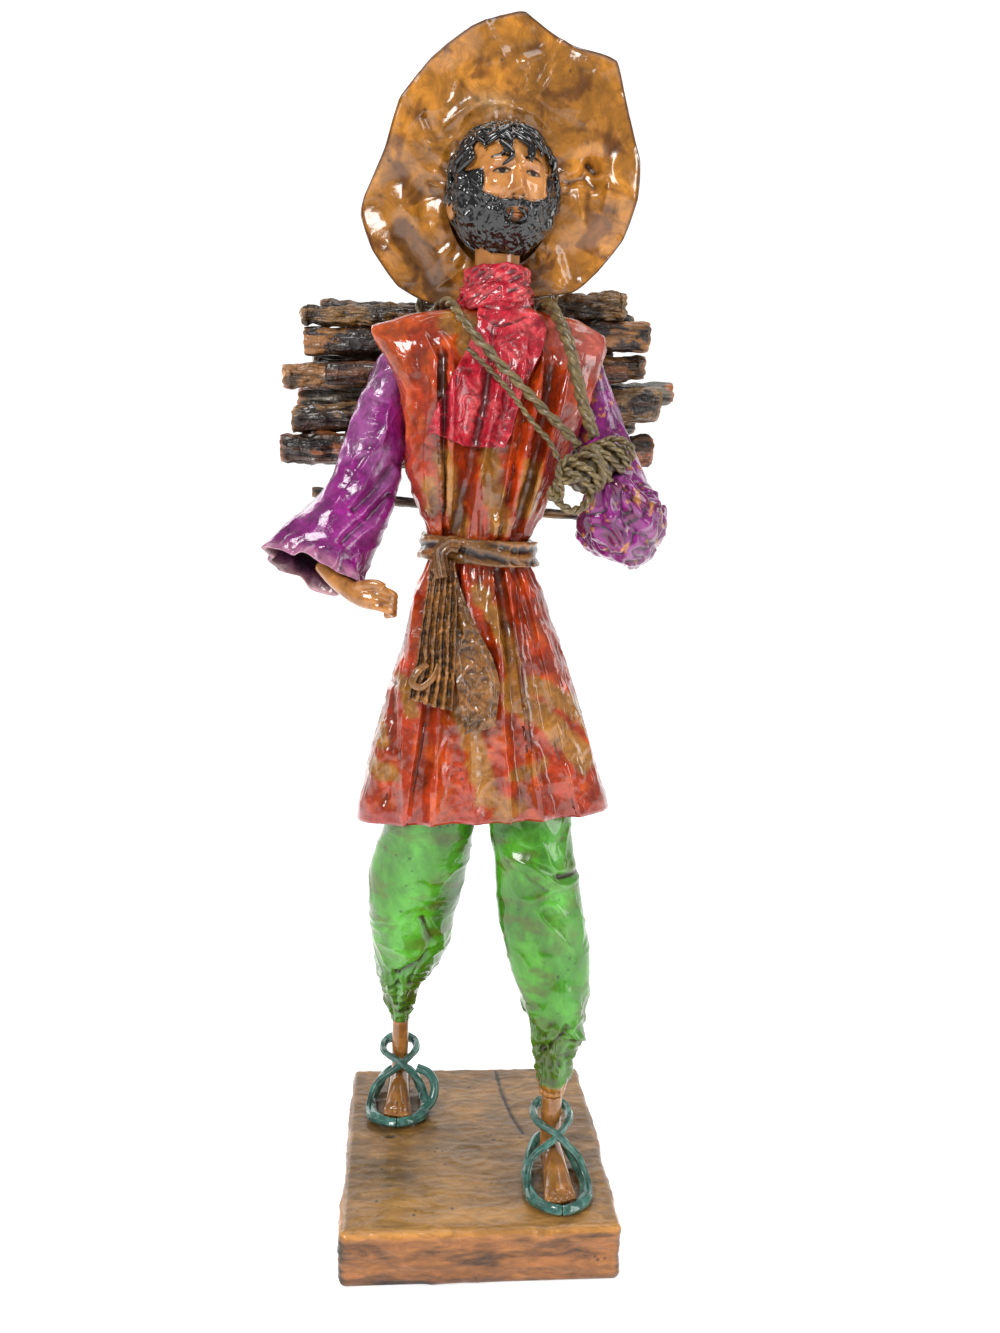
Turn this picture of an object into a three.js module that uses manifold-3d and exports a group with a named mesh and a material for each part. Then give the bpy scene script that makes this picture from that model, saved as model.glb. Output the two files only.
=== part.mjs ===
// Papier-mache figure of a firewood carrier standing on a paper-wrapped block.
// Millimetres, +Z up. The figure faces -Y and the origin is the middle of the block's underside.
// "left" and "right" in the names are as seen from the front, so left is -X.

import * as THREE from 'three';
import { mergeVertices } from 'three/addons/utils/BufferGeometryUtils.js';
import Module from 'manifold-3d';

const wasm = await Module();
wasm.setup();

// ---------------------------------------------------------------- driving sizes

const GAP = 0.3;
const BASE = { width: 120, depth: 131, height: 26, corner: 4, bevel: 2 };
const FLOOR = BASE.height + GAP;

// Tunic sections: height, middle in X, half width, half depth, squareness of the outline.
const TUNIC = [
  [190, 0, 57, 29, 2.4],
  [214, -1, 50.5, 27, 2.4],
  [240, -2, 43, 25, 2.3],
  [270, -2.5, 34, 21.5, 2.2],
  [290, -4, 27.5, 18.5, 2.2],
  [301, -4.8, 22.8, 16.2, 2.2],
  [308, -5.2, 20.6, 15, 2.2],
  [316, -4.6, 22.4, 15.8, 2.2],
  [330, -4.5, 29, 18, 2.5],
  [341, -4, 33, 19.5, 2.9],
  [356, -1.5, 36.5, 20.5, 3.2],
  [375, 0.5, 41, 20.5, 3.4],
  [388, -1, 46, 18, 3.2],
  [400, -3, 49, 12, 2.6],
  [406, -1, 34, 11, 2.2],
  [409, 0, 18, 9.5, 2],
];
const TALLEST_FOLD = 2.9;
const HEM = 190;
const WAIST = 308;
const YOKE = 385;
const NECKLINE = 409;
const HEM_RISE = { front: 3, right: 3 };
const TUNIC_ROWS = [
  190, 203, 220, 238, 256, 273, 290, 301, 308, 316, 330, 343, 358, 373, 386, 394, 401, 406, 409,
];
// The hollow of the skirt: its top, and its width as a share of the tunic's there and at the hem.
const CAVITY = { top: 235, ceiling: 0.9, rim: 0.966 };

// Folds of the tunic: X at the hem, waist and yoke, and how far the fold line stands out.
const FRONT_FOLDS = [
  [-51, -25, -42, 0.4],
  [-44, -23, -33, -1.2],
  [-36, -21, -25.5, 2.2],
  [-30, -20, -22.5, -1.8],
  [-24, -18.5, -19.5, 2.4],
  [-14, -16, -4, -3],
  [-5, -12, 1, 1.8],
  [3, -6, 5, -1],
  [10, 0, 10, 2.2],
  [16, 2, 13, -2],
  [24, 4.5, 18.5, 2.8],
  [31, 7, 22.5, -3],
  [41, 11.5, 29, 1.6],
  [50, 15, 38, -0.6],
];
const BACK_FOLDS = [
  [50, 16, 38, -0.6],
  [40, 12, 29, 1.8],
  [30, 8, 20, -1.6],
  [20, 4, 12, 2],
  [10, 0, 5, -1.8],
  [0, -4.5, -2, 2],
  [-10, -9, -9, -1.8],
  [-20, -13, -16, 2],
  [-30, -17, -24, -1.6],
  [-40, -21, -32, 1.8],
  [-50, -24, -41, -0.6],
];

// Neckerchief: middle, flatness and profile (radius, height) of the collar, and the rows of the
// hanging front (height, left edge, right edge) with the slant of its lower edge.
const COLLAR = {
  x: -0.6,
  y: -1.6,
  flatness: 0.86,
  profile: [
    [10, 409.5], [14.6, 409.5], [15.3, 412], [14.8, 416], [13.2, 416.8], [13.6, 423.5], [12, 424.5],
    [10, 424], [10, 409.5],
  ],
};
const KERCHIEF = {
  top: 413,
  bottom: 351.5,
  slant: 5,
  clear: 2.5,
  thick: 1.5,
  tucked: [404, 411],
  edges: [
    [351.5, -28.9, 3],
    [357, -28.6, 5.2],
    [371, -22.6, 9],
    [399, -10.2, 19.3],
    [406, -9, 16],
    [412, -8.5, 12],
  ],
};

// Sash: band, knot, and its two hanging ends (rows of height, left edge and right edge).
const BAND = { low: 303, high: 313.5, round: 100, clear: 2.8, tilt: 1.2 };
const KNOT = { middle: [-21.5, -20.9, 306], half: [6.4, 3.6, 7.4] };
const GATHERED_END = {
  clear: 4,
  thick: 2.2,
  pleats: 3,
  rows: [[245, -35, -16.5], [262, -31.5, -15.8], [285, -28.5, -15.5], [305, -26, -16.5]],
};
const FOLDED_END = {
  clear: 2.7,
  thick: 1.6,
  pleats: 2,
  rows: [[235, -11, 2], [240, -12.5, 2.2], [258, -15.5, 2.5], [285, -19.5, -10], [303, -22, -16]],
};

// Trouser legs: height, middle X and Y, half width, half depth.
const LEFT_LEG = [
  [68, -35.8, 41, 4.6, 4.6],
  [72, -35.8, 40, 5, 5],
  [78, -35.9, 38, 6.2, 6],
  [88, -35.5, 34, 8.5, 8],
  [97, -34, 32, 13, 11],
  [104, -32.8, 30, 16, 13.5],
  [119, -31, 24, 19.5, 15.5],
  [138, -30.3, 18, 20.4, 16.5],
  [158, -28.5, 12, 21.2, 16.5],
  [184, -24, 5, 21, 16],
  [206, -21.5, 2, 19, 15],
  [234.7, -19, 1, 16, 13.5],
];
const RIGHT_LEG = [
  [62, 34.1, -19.5, 5.6, 5.6],
  [68, 34.3, -19, 7, 6.5],
  [81, 35, -18, 9, 8],
  [92, 36.3, -17, 11.3, 10],
  [102, 34.5, -15, 14.7, 12.5],
  [119, 32, -12, 17.5, 14.5],
  [140, 28, -9, 18.8, 15.5],
  [165, 24.5, -6, 19.8, 15.5],
  [189, 20.8, -3, 18.7, 15],
  [208, 19.5, -1.5, 17.5, 14.5],
  [234.7, 18.5, 0, 16, 13.5],
];

// Heights between which the ankle's gathers begin and the shin and the thigh give way to the next,
// and the usual radius of a leg.
const ANKLE = [64, 80];
const SHIN = [100, 130];
const THIGH = [170, 190];
const LEG_RADIUS = 18;

// Feet: ankle and toe tip, and the widest half width of the sandal's loop.
const LEFT_FOOT = { ankle: [-35.6, 42], toe: [-36.6, 14], loop: 14.5, top: 67.4, shank: 4 };
const RIGHT_FOOT = { ankle: [34.1, -20], toe: [35.2, -54], loop: 14, top: 61.4, shank: 4.6 };
const SOLE = { half: 7.6, narrowing: 1.8, instep: 11, rise: 3, heel: 5.5 };
const SANDAL_CORD = 2.7;
const STRAP_CORD = 2.1;
// The strap's way: shares of the loop's half width and of the foot's length, and height.
const STRAP = [
  [0, 0, 0], [0.8, 0.12, 0], [0.98, 0.32, 1], [0.74, 0.5, 9], [0.06, 0.58, 18], [-0.52, 0.72, 21],
  [-0.5, 0.94, 22], [0, 1.02, 23], [0.5, 0.94, 22], [0.52, 0.72, 21], [-0.06, 0.56, 16],
  [-0.74, 0.5, 9], [-0.98, 0.32, 1], [-0.8, 0.12, 0],
];

// Sleeves: centre, half width across, half depth.
const LEFT_SLEEVE = [
  [-40, 3, 391, 7, 8],
  [-48, 4, 367, 10, 10],
  [-51.5, 5, 348, 13, 11.5],
  [-57, 4, 330, 14.5, 12.5],
  [-66, 1, 314, 18, 14],
  [-72.5, -4, 304, 20.5, 13.5],
  [-75.5, -9, 297, 21.5, 12.5],
];
const RIGHT_SLEEVE = [
  [38, 3, 391, 7, 8],
  [44, 3, 372, 8.5, 9.5],
  [49, 3, 353, 11.5, 11.5],
  [54, 0, 337, 13.5, 14],
  [56.5, -9, 325, 16, 15.5],
  [54.5, -20, 320, 17.5, 15.5],
  [50, -30, 325, 15.5, 13],
  [46, -36.5, 334, 10, 9],
  [43.5, -39.5, 341, 5.5, 5.5],
];
const LEFT_HAND = [
  [-72, -5, 300.5, 4.4],
  [-66, -10.5, 294.5, 4.8],
  [-58, -15, 290.5, 6],
  [-51, -18, 288, 7.4],
  [-45, -20.5, 286.5, 6.9],
  [-42, -21.5, 285.5, 4],
];

const HEAD = { middle: [0.5, -2, 455], half: [20, 23, 25], turn: 12 };
const NECK = { x: -0.6, y: -1.6, radius: 9.4, high: 30 };
const EAR = { side: 20.5, back: 2, drop: 6, half: [2.4, 3.4, 6] };
// Features of the face: distance from the middle line, height over the head's middle, half width,
// half height and how far each stands out.
const FACE = {
  brow: [0, 7.5, 11, 2.4, 1.1],
  socket: [6.6, 3.4, 3.2, 2.4, -1.7],
  cheek: [9, -3, 4, 4, 1],
  moustache: [0, -8, 7, 1.8, 1.6],
  lips: [0, -11.5, 5, 2, 1],
};
const NOSE = { wide: 2.6, stands: 4.6, top: 7, tip: -3.5, under: -7.5 };
const HAIR = { thick: 2.4, curls: 1.1, beard: 2.6 };

// Hat: middle of the opening, its half width and half height, crown depth and the brim's lean.
const HAT = { middle: [0.5, 9, 455], opening: [22.5, 27.5], crown: 33, lean: 8, sheet: 1.8 };
// Rings of the hat: shares from the crown's middle (0) to the opening (1) and to the rim (2).
const HAT_RINGS = [0.4, 0.75, 1, 1.2, 1.5, 1.8, 2];
// Waves of the brim (how many round it, how deep, where they start) and its dents (X, Z, half
// width, half height, depth).
const HAT_WAVES = [[3, 3, 0.6], [7, 1.8, 0]];
const HAT_DENTS = [[38, 470, 7, 6, 4], [-40, 452, 9, 8, -2.5]];
// Outline of the brim seen from the front: X and Z.
const BRIM = [
  [-2, 523.5], [8.5, 526], [22.5, 518], [31, 514], [46.5, 509], [52.5, 491], [58.5, 472], [58, 456],
  [54, 441], [44, 428], [33, 419], [0, 415], [-27, 412.5], [-42, 419], [-53, 433], [-58, 447],
  [-56.5, 455], [-48, 471.5], [-42, 490], [-30, 505.5], [-14, 517.5],
];

// Firewood: left end X, Z and radius, right end X, Z and radius, Y, sides.
const FIREWOOD = [
  [-86, 407, 3.6, 62, 417, 6, 34, 8],
  [-84, 396.6, 6.2, 73, 404.4, 6.6, 35, 9],
  [-94.5, 382, 5.6, 73.5, 392, 5.6, 41.6, 8],
  [-74, 383, 5.4, 63, 388.4, 4.4, 31, 6],
  [-88, 372, 5.4, 89, 381, 5, 52, 7],
  [-89, 362, 6.2, 79, 374.5, 8, 35, 10],
  [-94.5, 349, 6.6, 77, 352.6, 6.6, 35, 8],
  [-66, 360.5, 4.4, 66, 362.5, 4.6, 47.4, 8],
  [-78, 411, 6, 68, 410, 6, 47.4, 8],
  [-82, 395, 6, 60, 396.5, 6, 54, 8],
  [-70, 384, 5.6, 74, 367.4, 5.6, 63, 8],
  [-80, 349, 6, 70, 350, 6, 48.6, 9],
  [-72, 366, 5.4, 58, 354, 5.4, 60, 7],
  [-79, 330, 2.2, 79, 320.5, 2.2, 21.6, 6],
];

// How far a stick's section swells and shrinks round it and along it.
const STICK_WAVES = { mean: 0.92, round: 0.06, along: 0.02 };
// Ropes round the bundle: middle and half sizes in Y and Z, squareness, radius and places in X.
const TIE = { middle: [47, 381.5], half: [22.8, 45.5], square: 0.5, radius: 1.6, left: -31.4, right: 28.4 };

const ROPES = {
  left_shoulder_rope: {
    radius: 1.9,
    route: [
      [-28, 25, 399], [-26.5, 14, 407.2], [-23, 3, 411], [-19.5, -8, 410], [-16, -19, 403],
      [-9, -27, 393.5], [8, -31, 376], [24, -37, 360], [31, -40.5, 352.8],
    ],
  },
  thin_shoulder_cord: {
    radius: 1.1,
    route: [
      [-13.5, -25.6, 390.5], [0, -29.4, 377.5], [11, -32.5, 364.5], [20, -36.5, 353.5],
      [23.2, -39, 347.5],
    ],
  },
  right_shoulder_rope: {
    radius: 2.4,
    route: [
      [23, 25, 400], [21, 13, 407.8], [19.6, 4, 412], [21, -6, 411], [24, -16, 404],
      [28, -26, 391.5], [33, -33, 370], [37.5, -38.5, 356.5],
    ],
  },
};

// Wrapping round the right wrist: its axis, turns, length and radius, and its loose loop below.
const WRAP = {
  from: [47, -38, 350.5],
  to: [24, -47, 335.5],
  turns: 6,
  long: 24,
  radius: 7.4,
  strand: 0.8,
  cord: 2,
  loop: [
    [31, -44, 344], [25.5, -47, 347], [22, -47.5, 342], [22, -47.5, 335], [26, -46.5, 329.5],
    [31, -45, 328.5], [35, -43, 333], [36, -41, 338],
  ],
};

const COLOURS = {
  base: 0x8f6a38,
  skin: 0xc88a4a,
  hair: 0x0d0d0d,
  hat: 0xa86d22,
  tunic: 0xa83a18,
  kerchief: 0xd2304c,
  sash: 0x8a6030,
  sleeve: 0x8c2a78,
  trousers: 0x4f9a24,
  sandal: 0x4a7a74,
  rope: 0x6e5f3a,
  wood: 0x4a3524,
};
const PAINT_ROUGHNESS = 0.3;
const WOOD_ROUGHNESS = 0.5;

// ---------------------------------------------------------------- small helpers

const TURN = 2 * Math.PI;
const mix = (a, b, t) => a + (b - a) * t;
const clamp = (value, low, high) => Math.min(high, Math.max(low, value));
const bell = (distance, width) => Math.exp(-((distance / width) ** 2));
const smooth = (from, to, value) => {
  const t = clamp((value - from) / (to - from), 0, 1);
  return t * t * (3 - 2 * t);
};

// The row of a table at a key between its rows, without the key.
function rowAt(table, key) {
  const next = clamp(table.findIndex((row) => row[0] >= key), 1, table.length - 1);
  const above = key > table[table.length - 1][0] ? table.length - 1 : next;
  const [low, high] = [table[above - 1], table[above]];
  const t = clamp((key - low[0]) / (high[0] - low[0]), 0, 1);
  return low.slice(1).map((value, i) => mix(value, high[i + 1], t));
}

// Joins equal corners, drops faces that have shrunk to nothing and turns the faces outward.
function closed(geometry) {
  geometry.deleteAttribute('normal');
  geometry.deleteAttribute('uv');
  const merged = mergeVertices(geometry, 1e-4);
  const { index, attributes } = merged;
  const corner = (i) => new THREE.Vector3().fromBufferAttribute(attributes.position, i);
  const faces = [];
  let volume = 0;
  for (let i = 0; i < index.count; i += 3) {
    const face = [index.getX(i), index.getX(i + 1), index.getX(i + 2)];
    if (new Set(face).size < 3) continue;
    faces.push(face);
    volume += corner(face[0]).dot(corner(face[1]).cross(corner(face[2])));
  }
  if (volume < 0) faces.forEach((face) => face.reverse());
  merged.setIndex(faces.flat());
  return merged;
}

// Moves every corner of a geometry to where `place` puts it.
function reshape(geometry, place) {
  const position = geometry.attributes.position;
  const point = new THREE.Vector3();
  for (let i = 0; i < position.count; i += 1) {
    point.fromBufferAttribute(position, i);
    for (const axis of 'xyz') point[axis] = Math.round(point[axis] * 1e5) / 1e5;
    const [x, y, z] = place(point);
    position.setXYZ(i, x, y, z);
  }
  return closed(geometry);
}

// A skin turned from a profile of [share of the radius, share of the length] pairs. `place` gets
// the turn (-0.5 to 0.5, 0 at the front), the share of the length and the share of the radius.
function turned(profile, columns, place) {
  const points = profile.map(([edge, rise]) => new THREE.Vector2(edge, rise));
  return reshape(new THREE.LatheGeometry(points, columns), (p) => (
    place(Math.atan2(p.x, p.z) / TURN, p.y, Math.hypot(p.x, p.z))));
}

// A sheet of paper: `place` gets the shares along its width, its height and its thickness.
function sheet(wide, high, place) {
  const flat = new THREE.BoxGeometry(1, 1, 1, wide, high, 1);
  return reshape(flat, (p) => place(p.x + 0.5, p.y + 0.5, p.z + 0.5));
}

const STEP = 0.01;

// A ring of round cord whose middle line is `path`, a function of the turn.
function ring(path, radius, steps, sides = 6) {
  const cordShare = 0.1;
  const torus = new THREE.TorusGeometry(1, cordShare, sides, steps);
  const middle = new THREE.Vector3();
  for (let i = 0; i < steps; i += 1) middle.addScaledVector(path(i / steps), 1 / steps);
  return reshape(torus, (p) => {
    const turn = Math.atan2(p.y, p.x) / TURN;
    const at = path(turn);
    const along = path(turn + STEP).sub(path(turn - STEP)).normalize();
    const out = at.clone().sub(middle);
    out.addScaledVector(along, -out.dot(along)).normalize();
    const up = along.cross(out);
    const share = radius / cordShare;
    at.addScaledVector(out, (Math.hypot(p.x, p.y) - 1) * share);
    return at.addScaledVector(up, p.z * share).toArray();
  });
}

// A round cord through a list of points.
function cord(points, radius, steps = 12, sides = 6) {
  const section = new THREE.Shape();
  for (let i = 0; i < sides; i += 1) {
    const angle = (i / sides) * TURN;
    const corner = [radius * Math.cos(angle), radius * Math.sin(angle)];
    if (i === 0) section.moveTo(...corner);
    else section.lineTo(...corner);
  }
  const path = new THREE.CatmullRomCurve3(points.map((point) => new THREE.Vector3(...point)));
  return closed(new THREE.ExtrudeGeometry(section, { steps, extrudePath: path, bevelEnabled: false }));
}

const asSolid = (geometry) => new wasm.Manifold(new wasm.Mesh({
  numProp: 3,
  vertProperties: Float32Array.from(geometry.attributes.position.array),
  triVerts: Uint32Array.from(geometry.index.array),
}));

function asGeometry(solid) {
  const { vertProperties, triVerts } = solid.getMesh();
  const geometry = new THREE.BufferGeometry();
  geometry.setAttribute('position', new THREE.BufferAttribute(Float32Array.from(vertProperties), 3));
  geometry.setIndex(new THREE.BufferAttribute(Uint32Array.from(triVerts), 1));
  return geometry;
}

const join = (...pieces) => asGeometry(pieces.map(asSolid).reduce((all, piece) => all.add(piece)));

// A geometry with its skin moved out by a distance.
function grown(geometry, distance) {
  const copy = geometry.clone();
  copy.computeVertexNormals();
  const { position, normal } = copy.attributes;
  const point = new THREE.Vector3();
  const way = new THREE.Vector3();
  for (let i = 0; i < position.count; i += 1) {
    point.fromBufferAttribute(position, i).addScaledVector(way.fromBufferAttribute(normal, i), distance);
    position.setXYZ(i, ...point);
  }
  copy.deleteAttribute('normal');
  return copy;
}

// A piece cut back so that it keeps a small gap to its neighbours, without any crumbs cut off it.
function cutClear(piece, ...neighbours) {
  const clearance = 1.3 * GAP;
  const trim = (left, next) => left.subtract(asSolid(grown(next, clearance)));
  const rest = neighbours.reduce(trim, asSolid(piece));
  const bodies = rest.decompose().sort((a, b) => b.volume() - a.volume());
  return asGeometry(bodies[0]);
}

// ---------------------------------------------------------------- base

function makeBase() {
  const { width, depth, height, corner, bevel } = BASE;
  const [x, y] = [width / 2 - bevel, depth / 2 - bevel];
  const top = new THREE.Shape();
  top.moveTo(-x + corner, -y);
  top.lineTo(x - corner, -y);
  top.absarc(x - corner, -y + corner, corner, -TURN / 4, 0);
  top.absarc(x - corner, y - corner, corner, 0, TURN / 4);
  top.absarc(-x + corner, y - corner, corner, TURN / 4, TURN / 2);
  top.absarc(-x + corner, -y + corner, corner, TURN / 2, 0.75 * TURN);
  const block = new THREE.ExtrudeGeometry(top, {
    depth: height - 2 * bevel, bevelThickness: bevel, bevelSize: bevel, bevelSegments: 1, curveSegments: 2,
  });
  block.translate(0, 0, bevel);
  return closed(block);
}

// ---------------------------------------------------------------- tunic

// X of a fold line at a height: straight from hem to waist to yoke, then drawn in to the neckline.
function foldX([atHem, atWaist, atYoke], z) {
  if (z <= WAIST) return mix(atHem, atWaist, clamp((z - HEM) / (WAIST - HEM), 0, 1));
  if (z <= YOKE) return mix(atWaist, atYoke, (z - WAIST) / (YOKE - WAIST));
  const [middle, half] = rowAt(TUNIC, z);
  const [yokeMiddle, yokeHalf] = rowAt(TUNIC, YOKE);
  return middle + ((atYoke - yokeMiddle) * half) / yokeHalf;
}

// How strongly the folds stand at a height: full on skirt and chest, tight at the belt.
const BELT_GRIP = { share: 0.55, reach: 14 };
const foldStrength = (z) => (1 - BELT_GRIP.share * bell(z - WAIST, BELT_GRIP.reach))
  * (1 - smooth(YOKE - 12, NECKLINE - 4, z));

// Half depth of the tunic at a point, without its folds.
function tunicDepth(x, z) {
  const [middle, half, depth, square] = rowAt(TUNIC, z);
  const share = clamp(Math.abs(x - middle) / half, 0, 1);
  return depth * (1 - share ** square) ** (1 / square);
}

// Y of the tunic's front at a point, on the straight faces between its fold lines.
function tunicFront(x, z) {
  const [middle, half] = rowAt(TUNIC, z);
  const lines = FRONT_FOLDS.map((fold) => [foldX(fold, z), fold[3]]);
  const edges = [[middle - half, 0], ...lines, [middle + half, 0]];
  const depths = edges.map(([at, height]) => [at, -tunicDepth(at, z) - height * foldStrength(z)]);
  return rowAt(depths, x)[0];
}

const TUNIC_COLUMNS = FRONT_FOLDS.length + BACK_FOLDS.length + 2;
const [, , HEM_WIDE, HEM_DEEP] = TUNIC[0];
const HEM_LIFT_ENDS = HEM + 30;

function tunicPoint(turn, z, edge) {
  const [middle, half] = rowAt(TUNIC, z);
  const column = Math.round(turn * TUNIC_COLUMNS) + TUNIC_COLUMNS;
  const start = column % TUNIC_COLUMNS;
  const rightSide = FRONT_FOLDS.length;
  let point = [middle - half, 0];
  if (start < rightSide) {
    const x = foldX(FRONT_FOLDS[start], z);
    point = [x, -tunicDepth(x, z) - FRONT_FOLDS[start][3] * foldStrength(z)];
  } else if (start === rightSide) {
    point = [middle + half, 0];
  } else if (start < TUNIC_COLUMNS - 1) {
    const fold = BACK_FOLDS[start - rightSide - 1];
    const x = foldX(fold, z);
    point = [x, tunicDepth(x, z) + fold[3] * foldStrength(z)];
  }
  const [x, y] = [mix(middle, point[0], edge), point[1] * edge];
  const lift = (HEM_RISE.right * x) / HEM_WIDE - (HEM_RISE.front * y) / HEM_DEEP;
  return [x, y, z + lift * (1 - smooth(HEM, HEM_LIFT_ENDS, z)) * Math.min(1, edge * 2)];
}

function makeTunic() {
  const wall = [[0, CAVITY.top], [CAVITY.ceiling, CAVITY.top], [CAVITY.rim, HEM]];
  const outside = TUNIC_ROWS.map((z) => [1, z]);
  return turned([...wall, ...outside, [0, NECKLINE]], TUNIC_COLUMNS, tunicPoint);
}

// ---------------------------------------------------------------- neckerchief and sash

// Depth of the neck's round front at an X.
function neckDepth(x) {
  const radius = 13.4;
  return COLLAR.flatness * Math.sqrt(Math.max(0, radius ** 2 - (x - COLLAR.x) ** 2));
}

function makeNeckerchief() {
  const collar = turned(COLLAR.profile, 16, (turn, z, radius) => {
    const angle = turn * TURN;
    const crease = 0.35 * Math.sin(angle * 7 + z) * smooth(11, 13, radius);
    const out = radius + crease;
    const deep = out * mix(1, COLLAR.flatness, smooth(10.5, 13, radius));
    return [COLLAR.x + out * Math.sin(angle), COLLAR.y - deep * Math.cos(angle), z];
  });
  const { top, bottom, slant, clear, thick, tucked, edges } = KERCHIEF;
  const front = sheet(10, 8, (u, v, w) => {
    const z = mix(bottom + slant * (1 - smooth(0, 0.6, u)), top, v);
    const [left, right] = rowAt(edges, z);
    const x = mix(left, right, u);
    const drape = tunicFront(x, z) - clear;
    const round = COLLAR.y - neckDepth(x);
    return [x, mix(drape, Math.min(drape, round), smooth(...tucked, z)) - thick * w, z];
  });
  return join(collar, front);
}

// A hanging end of the sash, pressed into ridges.
function makeSashEnd({ rows, clear, thick, pleats }) {
  const [bottom, top] = [rows[0][0], rows[rows.length - 1][0]];
  return sheet(pleats * 2, 5, (u, v, w) => {
    const z = mix(bottom, top, v);
    const [left, right] = rowAt(rows, z);
    const x = mix(left, right, u);
    const ridge = 0.7 * Math.cos(u * TURN * pleats);
    const out = tunicDepth(x, z) + TALLEST_FOLD * foldStrength(z) + clear;
    return [x, -out - (thick + ridge) * w, z];
  });
}

function makeSash() {
  const { low, high, round, clear, tilt } = BAND;
  const middleZ = (low + high) / 2;
  const profile = [[0, low], [2.2, low], [3.4, middleZ], [2.2, high], [0, high], [1.2, middleZ], [0, low]];
  const band = turned(profile.map(([out, z]) => [round + out, z]), 24, (turn, z, radius) => {
    const [middle, half, depth] = rowAt(TUNIC, z < WAIST ? z - 1.5 : z + 1.5);
    const [angle, out] = [turn * TURN, radius - round];
    const x = middle + (half + out + 1) * Math.sin(angle);
    return [x, -(depth + out + clear) * Math.cos(angle), z - tilt * Math.sin(angle)];
  });
  const knot = new THREE.SphereGeometry(1, 8, 6);
  knot.scale(...KNOT.half);
  knot.translate(...KNOT.middle);
  return join(band, closed(knot), makeSashEnd(GATHERED_END), makeSashEnd(FOLDED_END));
}

// ---------------------------------------------------------------- limbs

// A skin round sections of [x, y, z, half width, half depth]. `ripple` adds to the radius.
function limb(sections, profile, columns, ripple = () => 0) {
  const centres = sections.map(([x, y, z]) => new THREE.Vector3(x, y, z));
  let across = new THREE.Vector3(1, 0, 0);
  const frames = centres.map((centre, i) => {
    const before = centres[Math.max(0, i - 1)];
    const after = centres[Math.min(centres.length - 1, i + 1)];
    const along = after.clone().sub(before).normalize();
    across = across.clone().addScaledVector(along, -across.dot(along)).normalize();
    return { along, across, front: across.clone().cross(along).normalize() };
  });
  return turned(profile, columns, (turn, rise, edge) => {
    const low = clamp(Math.floor(rise), 0, sections.length - 2);
    const t = rise - low;
    const angle = turn * TURN;
    const half = [3, 4].map((i) => mix(sections[low][i], sections[low + 1][i], t));
    const swell = ripple(turn, rise) * edge;
    const at = centres[low].clone().lerp(centres[low + 1], t);
    const axis = (name) => frames[low][name].clone().lerp(frames[low + 1][name], t).normalize();
    at.addScaledVector(axis('across'), edge * (half[0] + swell) * Math.sin(angle));
    return at.addScaledVector(axis('front'), edge * (half[1] + swell) * Math.cos(angle)).toArray();
  });
}

// The profile of a limb with flat ends.
const capped = (last) => [[0, 0], ...Array.from({ length: last + 1 }, (_, i) => [1, i]), [0, last]];

function makeTrouserLeg(rows, twist) {
  const sections = rows.map(([z, x, y, wide, deep]) => [x, y, z, wide, deep]);
  const top = rows.length - 1;
  return turned(capped(top), 16, (turn, rise, edge) => {
    const low = clamp(Math.floor(rise), 0, top - 1);
    const [x, y, z, wide, deep] = sections[low].map((value, i) => mix(value, sections[low + 1][i], rise - low));
    const angle = turn * TURN;
    const shin = 1 - smooth(...SHIN, z);
    const gather = 0.9 * Math.sin(angle * 5 + z / 9) * shin * smooth(...ANKLE, z);
    const knee = (1 - shin) * (1 - smooth(...THIGH, z));
    const crease = 1.1 * Math.sin(angle * 2 + twist + z / 14) * knee;
    const out = edge * (1 + (gather + crease) / LEG_RADIUS);
    return [x + out * wide * Math.sin(angle), y - out * deep * Math.cos(angle), z];
  });
}

function makeLeftSleeve(tunic, hand) {
  const rim = LEFT_SLEEVE.length - 1;
  const inside = [[0.9, rim], [0.86, rim - 1], [0.8, rim - 1.9], [0, rim - 2]];
  const profile = [...capped(rim).slice(0, -1), ...inside];
  const ruffle = (turn, rise) => 2 * Math.sin(turn * TURN * 6) * smooth(rim - 1.2, rim, rise)
    + 0.8 * Math.sin(turn * TURN * 3 + rise) * smooth(1, 2, rise);
  return cutClear(limb(LEFT_SLEEVE, profile, 20, ruffle), tunic, hand);
}

function makeRightSleeve(tunic) {
  const last = RIGHT_SLEEVE.length - 1;
  const crumple = (turn, rise) => {
    const bag = smooth(2.5, 4, rise) * (1 - smooth(6.5, 7.5, rise));
    const pleats = 0.6 * Math.sin(turn * TURN * 9 - rise) * smooth(5, 7, rise);
    return 1.3 * Math.sin(turn * TURN * 4 + rise * 1.3) * bag + pleats;
  };
  return cutClear(limb(RIGHT_SLEEVE, capped(last), 20, crumple), tunic);
}

function makeLeftHand() {
  const flatness = 0.92;
  const sections = LEFT_HAND.map(([x, y, z, radius]) => [x, y, z, radius * flatness, radius]);
  const fingers = (turn, rise) => 0.6 * Math.cos(turn * TURN * 4) * smooth(2.5, 3.5, rise);
  return limb(sections, capped(sections.length - 1), 12, fingers);
}

// ---------------------------------------------------------------- feet and sandals

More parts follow.
